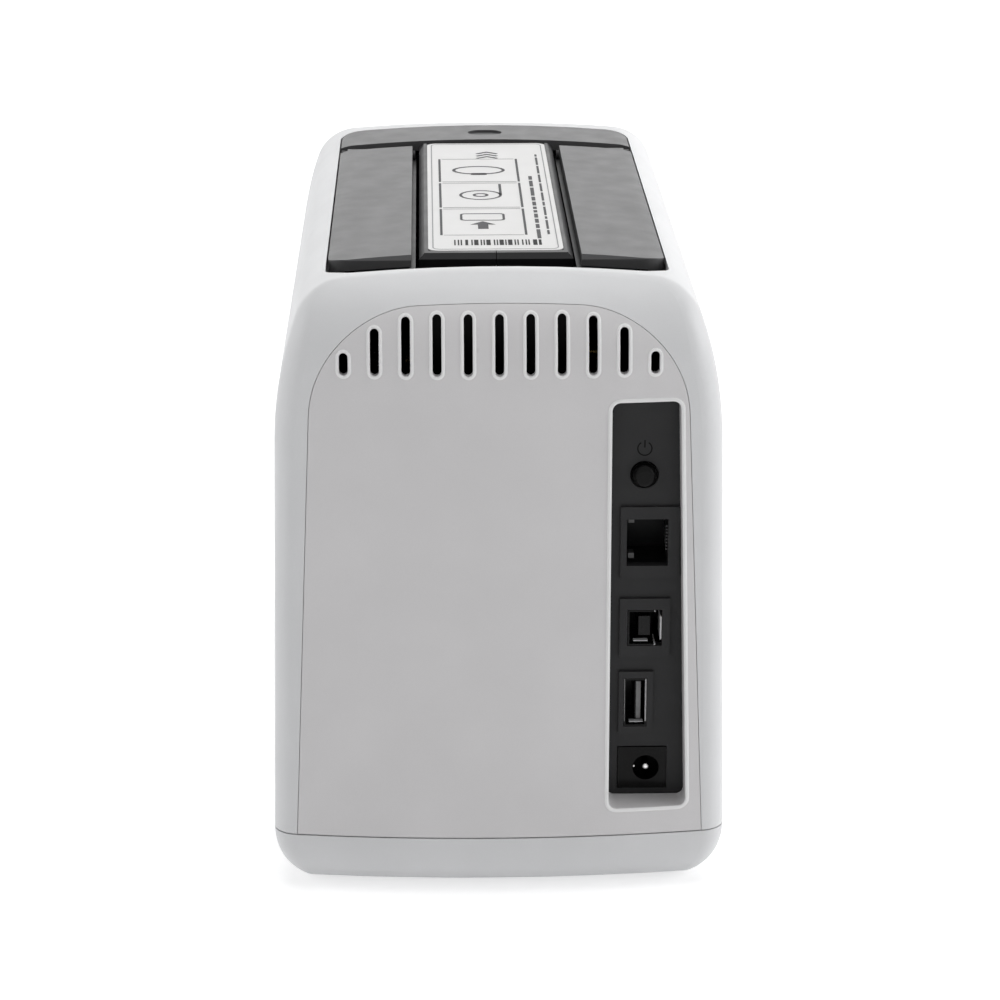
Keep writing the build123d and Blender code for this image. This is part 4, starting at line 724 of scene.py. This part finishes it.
def makeFloor():
    bpy.ops.mesh.primitive_plane_add(size=studio["floorSize"], location=(0, 0, 0))
    floor = bpy.context.object
    floor.name = "studioFloor"
    finish, tree, shader, place = startFinish("studio_floor")
    cloud = addNoise(tree, place, studio["cloud"], 2)
    faded = shaded(studio["floor"], studio["fade"])
    tone = mixColours(tree, spreadValue(tree, cloud, 0, 1), faded, studio["floor"])
    tree.links.new(tone, shader.inputs["Base Color"])
    shader.inputs["Roughness"].default_value = studio["rough"]
    shader.inputs["Specular IOR Level"].default_value = studio["shine"]
    shader.inputs["Emission Color"].default_value = (1, 1, 1, 1)
    glow = spreadValue(tree, seenBy(tree), studio["bounce"], studio["glow"], 0, 1)
    tree.links.new(glow, shader.inputs["Emission Strength"])
    floor.data.materials.append(finish)


def makeSky():
    world = bpy.data.worlds.new("studioSky")
    scene.world = world
    world.use_nodes = True
    tree = world.node_tree
    back = tree.nodes["Background"]
    back.inputs["Color"].default_value = (1, 1, 1, 1)
    strength = spreadValue(tree, seenBy(tree), studio["skyLight"], 1.0, 0, 1)
    tree.links.new(strength, back.inputs["Strength"])


# Sun lamps by the way they shine: towards, strength as a share of full daylight, and softness
lamps = {
    "topLamp": {"towards": (0.05, 0.12, -1), "share": 0.40, "soft": 50},
    "leftLamp": {"towards": (-1, -0.05, -0.25), "share": 0.33, "soft": 60},
    "rightLamp": {"towards": (1, -0.12, -0.25), "share": 0.60, "soft": 60},
    "frontLamp": {"towards": (0.1, 1, -0.35), "share": 0.18, "soft": 60},
}


def makeLamps():
    for name, lamp in lamps.items():
        light = bpy.data.lights.new(name, "SUN")
        light.energy = pi * lamp["share"]
        light.angle = radians(lamp["soft"])
        stand = bpy.data.objects.new(name, light)
        scene.collection.objects.link(stand)
        stand.rotation_euler = Vector(lamp["towards"]).to_track_quat("-Z", "Y").to_euler()


# The camera behind the printer, a little above it
viewpoint = {"place": (19.44, 913.43, 377.48), "towards": (-0.02328, -0.94962, -0.31255),
             "lens": 111.6, "sensor": 36.0, "near": 0.02}


def makeCamera():
    data = bpy.data.cameras.new("photoCamera")
    data.lens = viewpoint["lens"]
    data.sensor_width = viewpoint["sensor"]
    data.clip_start = viewpoint["near"]
    camera = bpy.data.objects.new("photoCamera", data)
    scene.collection.objects.link(camera)
    camera.location = Vector(viewpoint["place"]) * mm
    camera.rotation_euler = Vector(viewpoint["towards"]).to_track_quat("-Z", "Y").to_euler()
    scene.camera = camera


makeFloor()
makeSky()
makeLamps()
makeCamera()
scene.view_settings.view_transform = "Standard"
print("studio set")
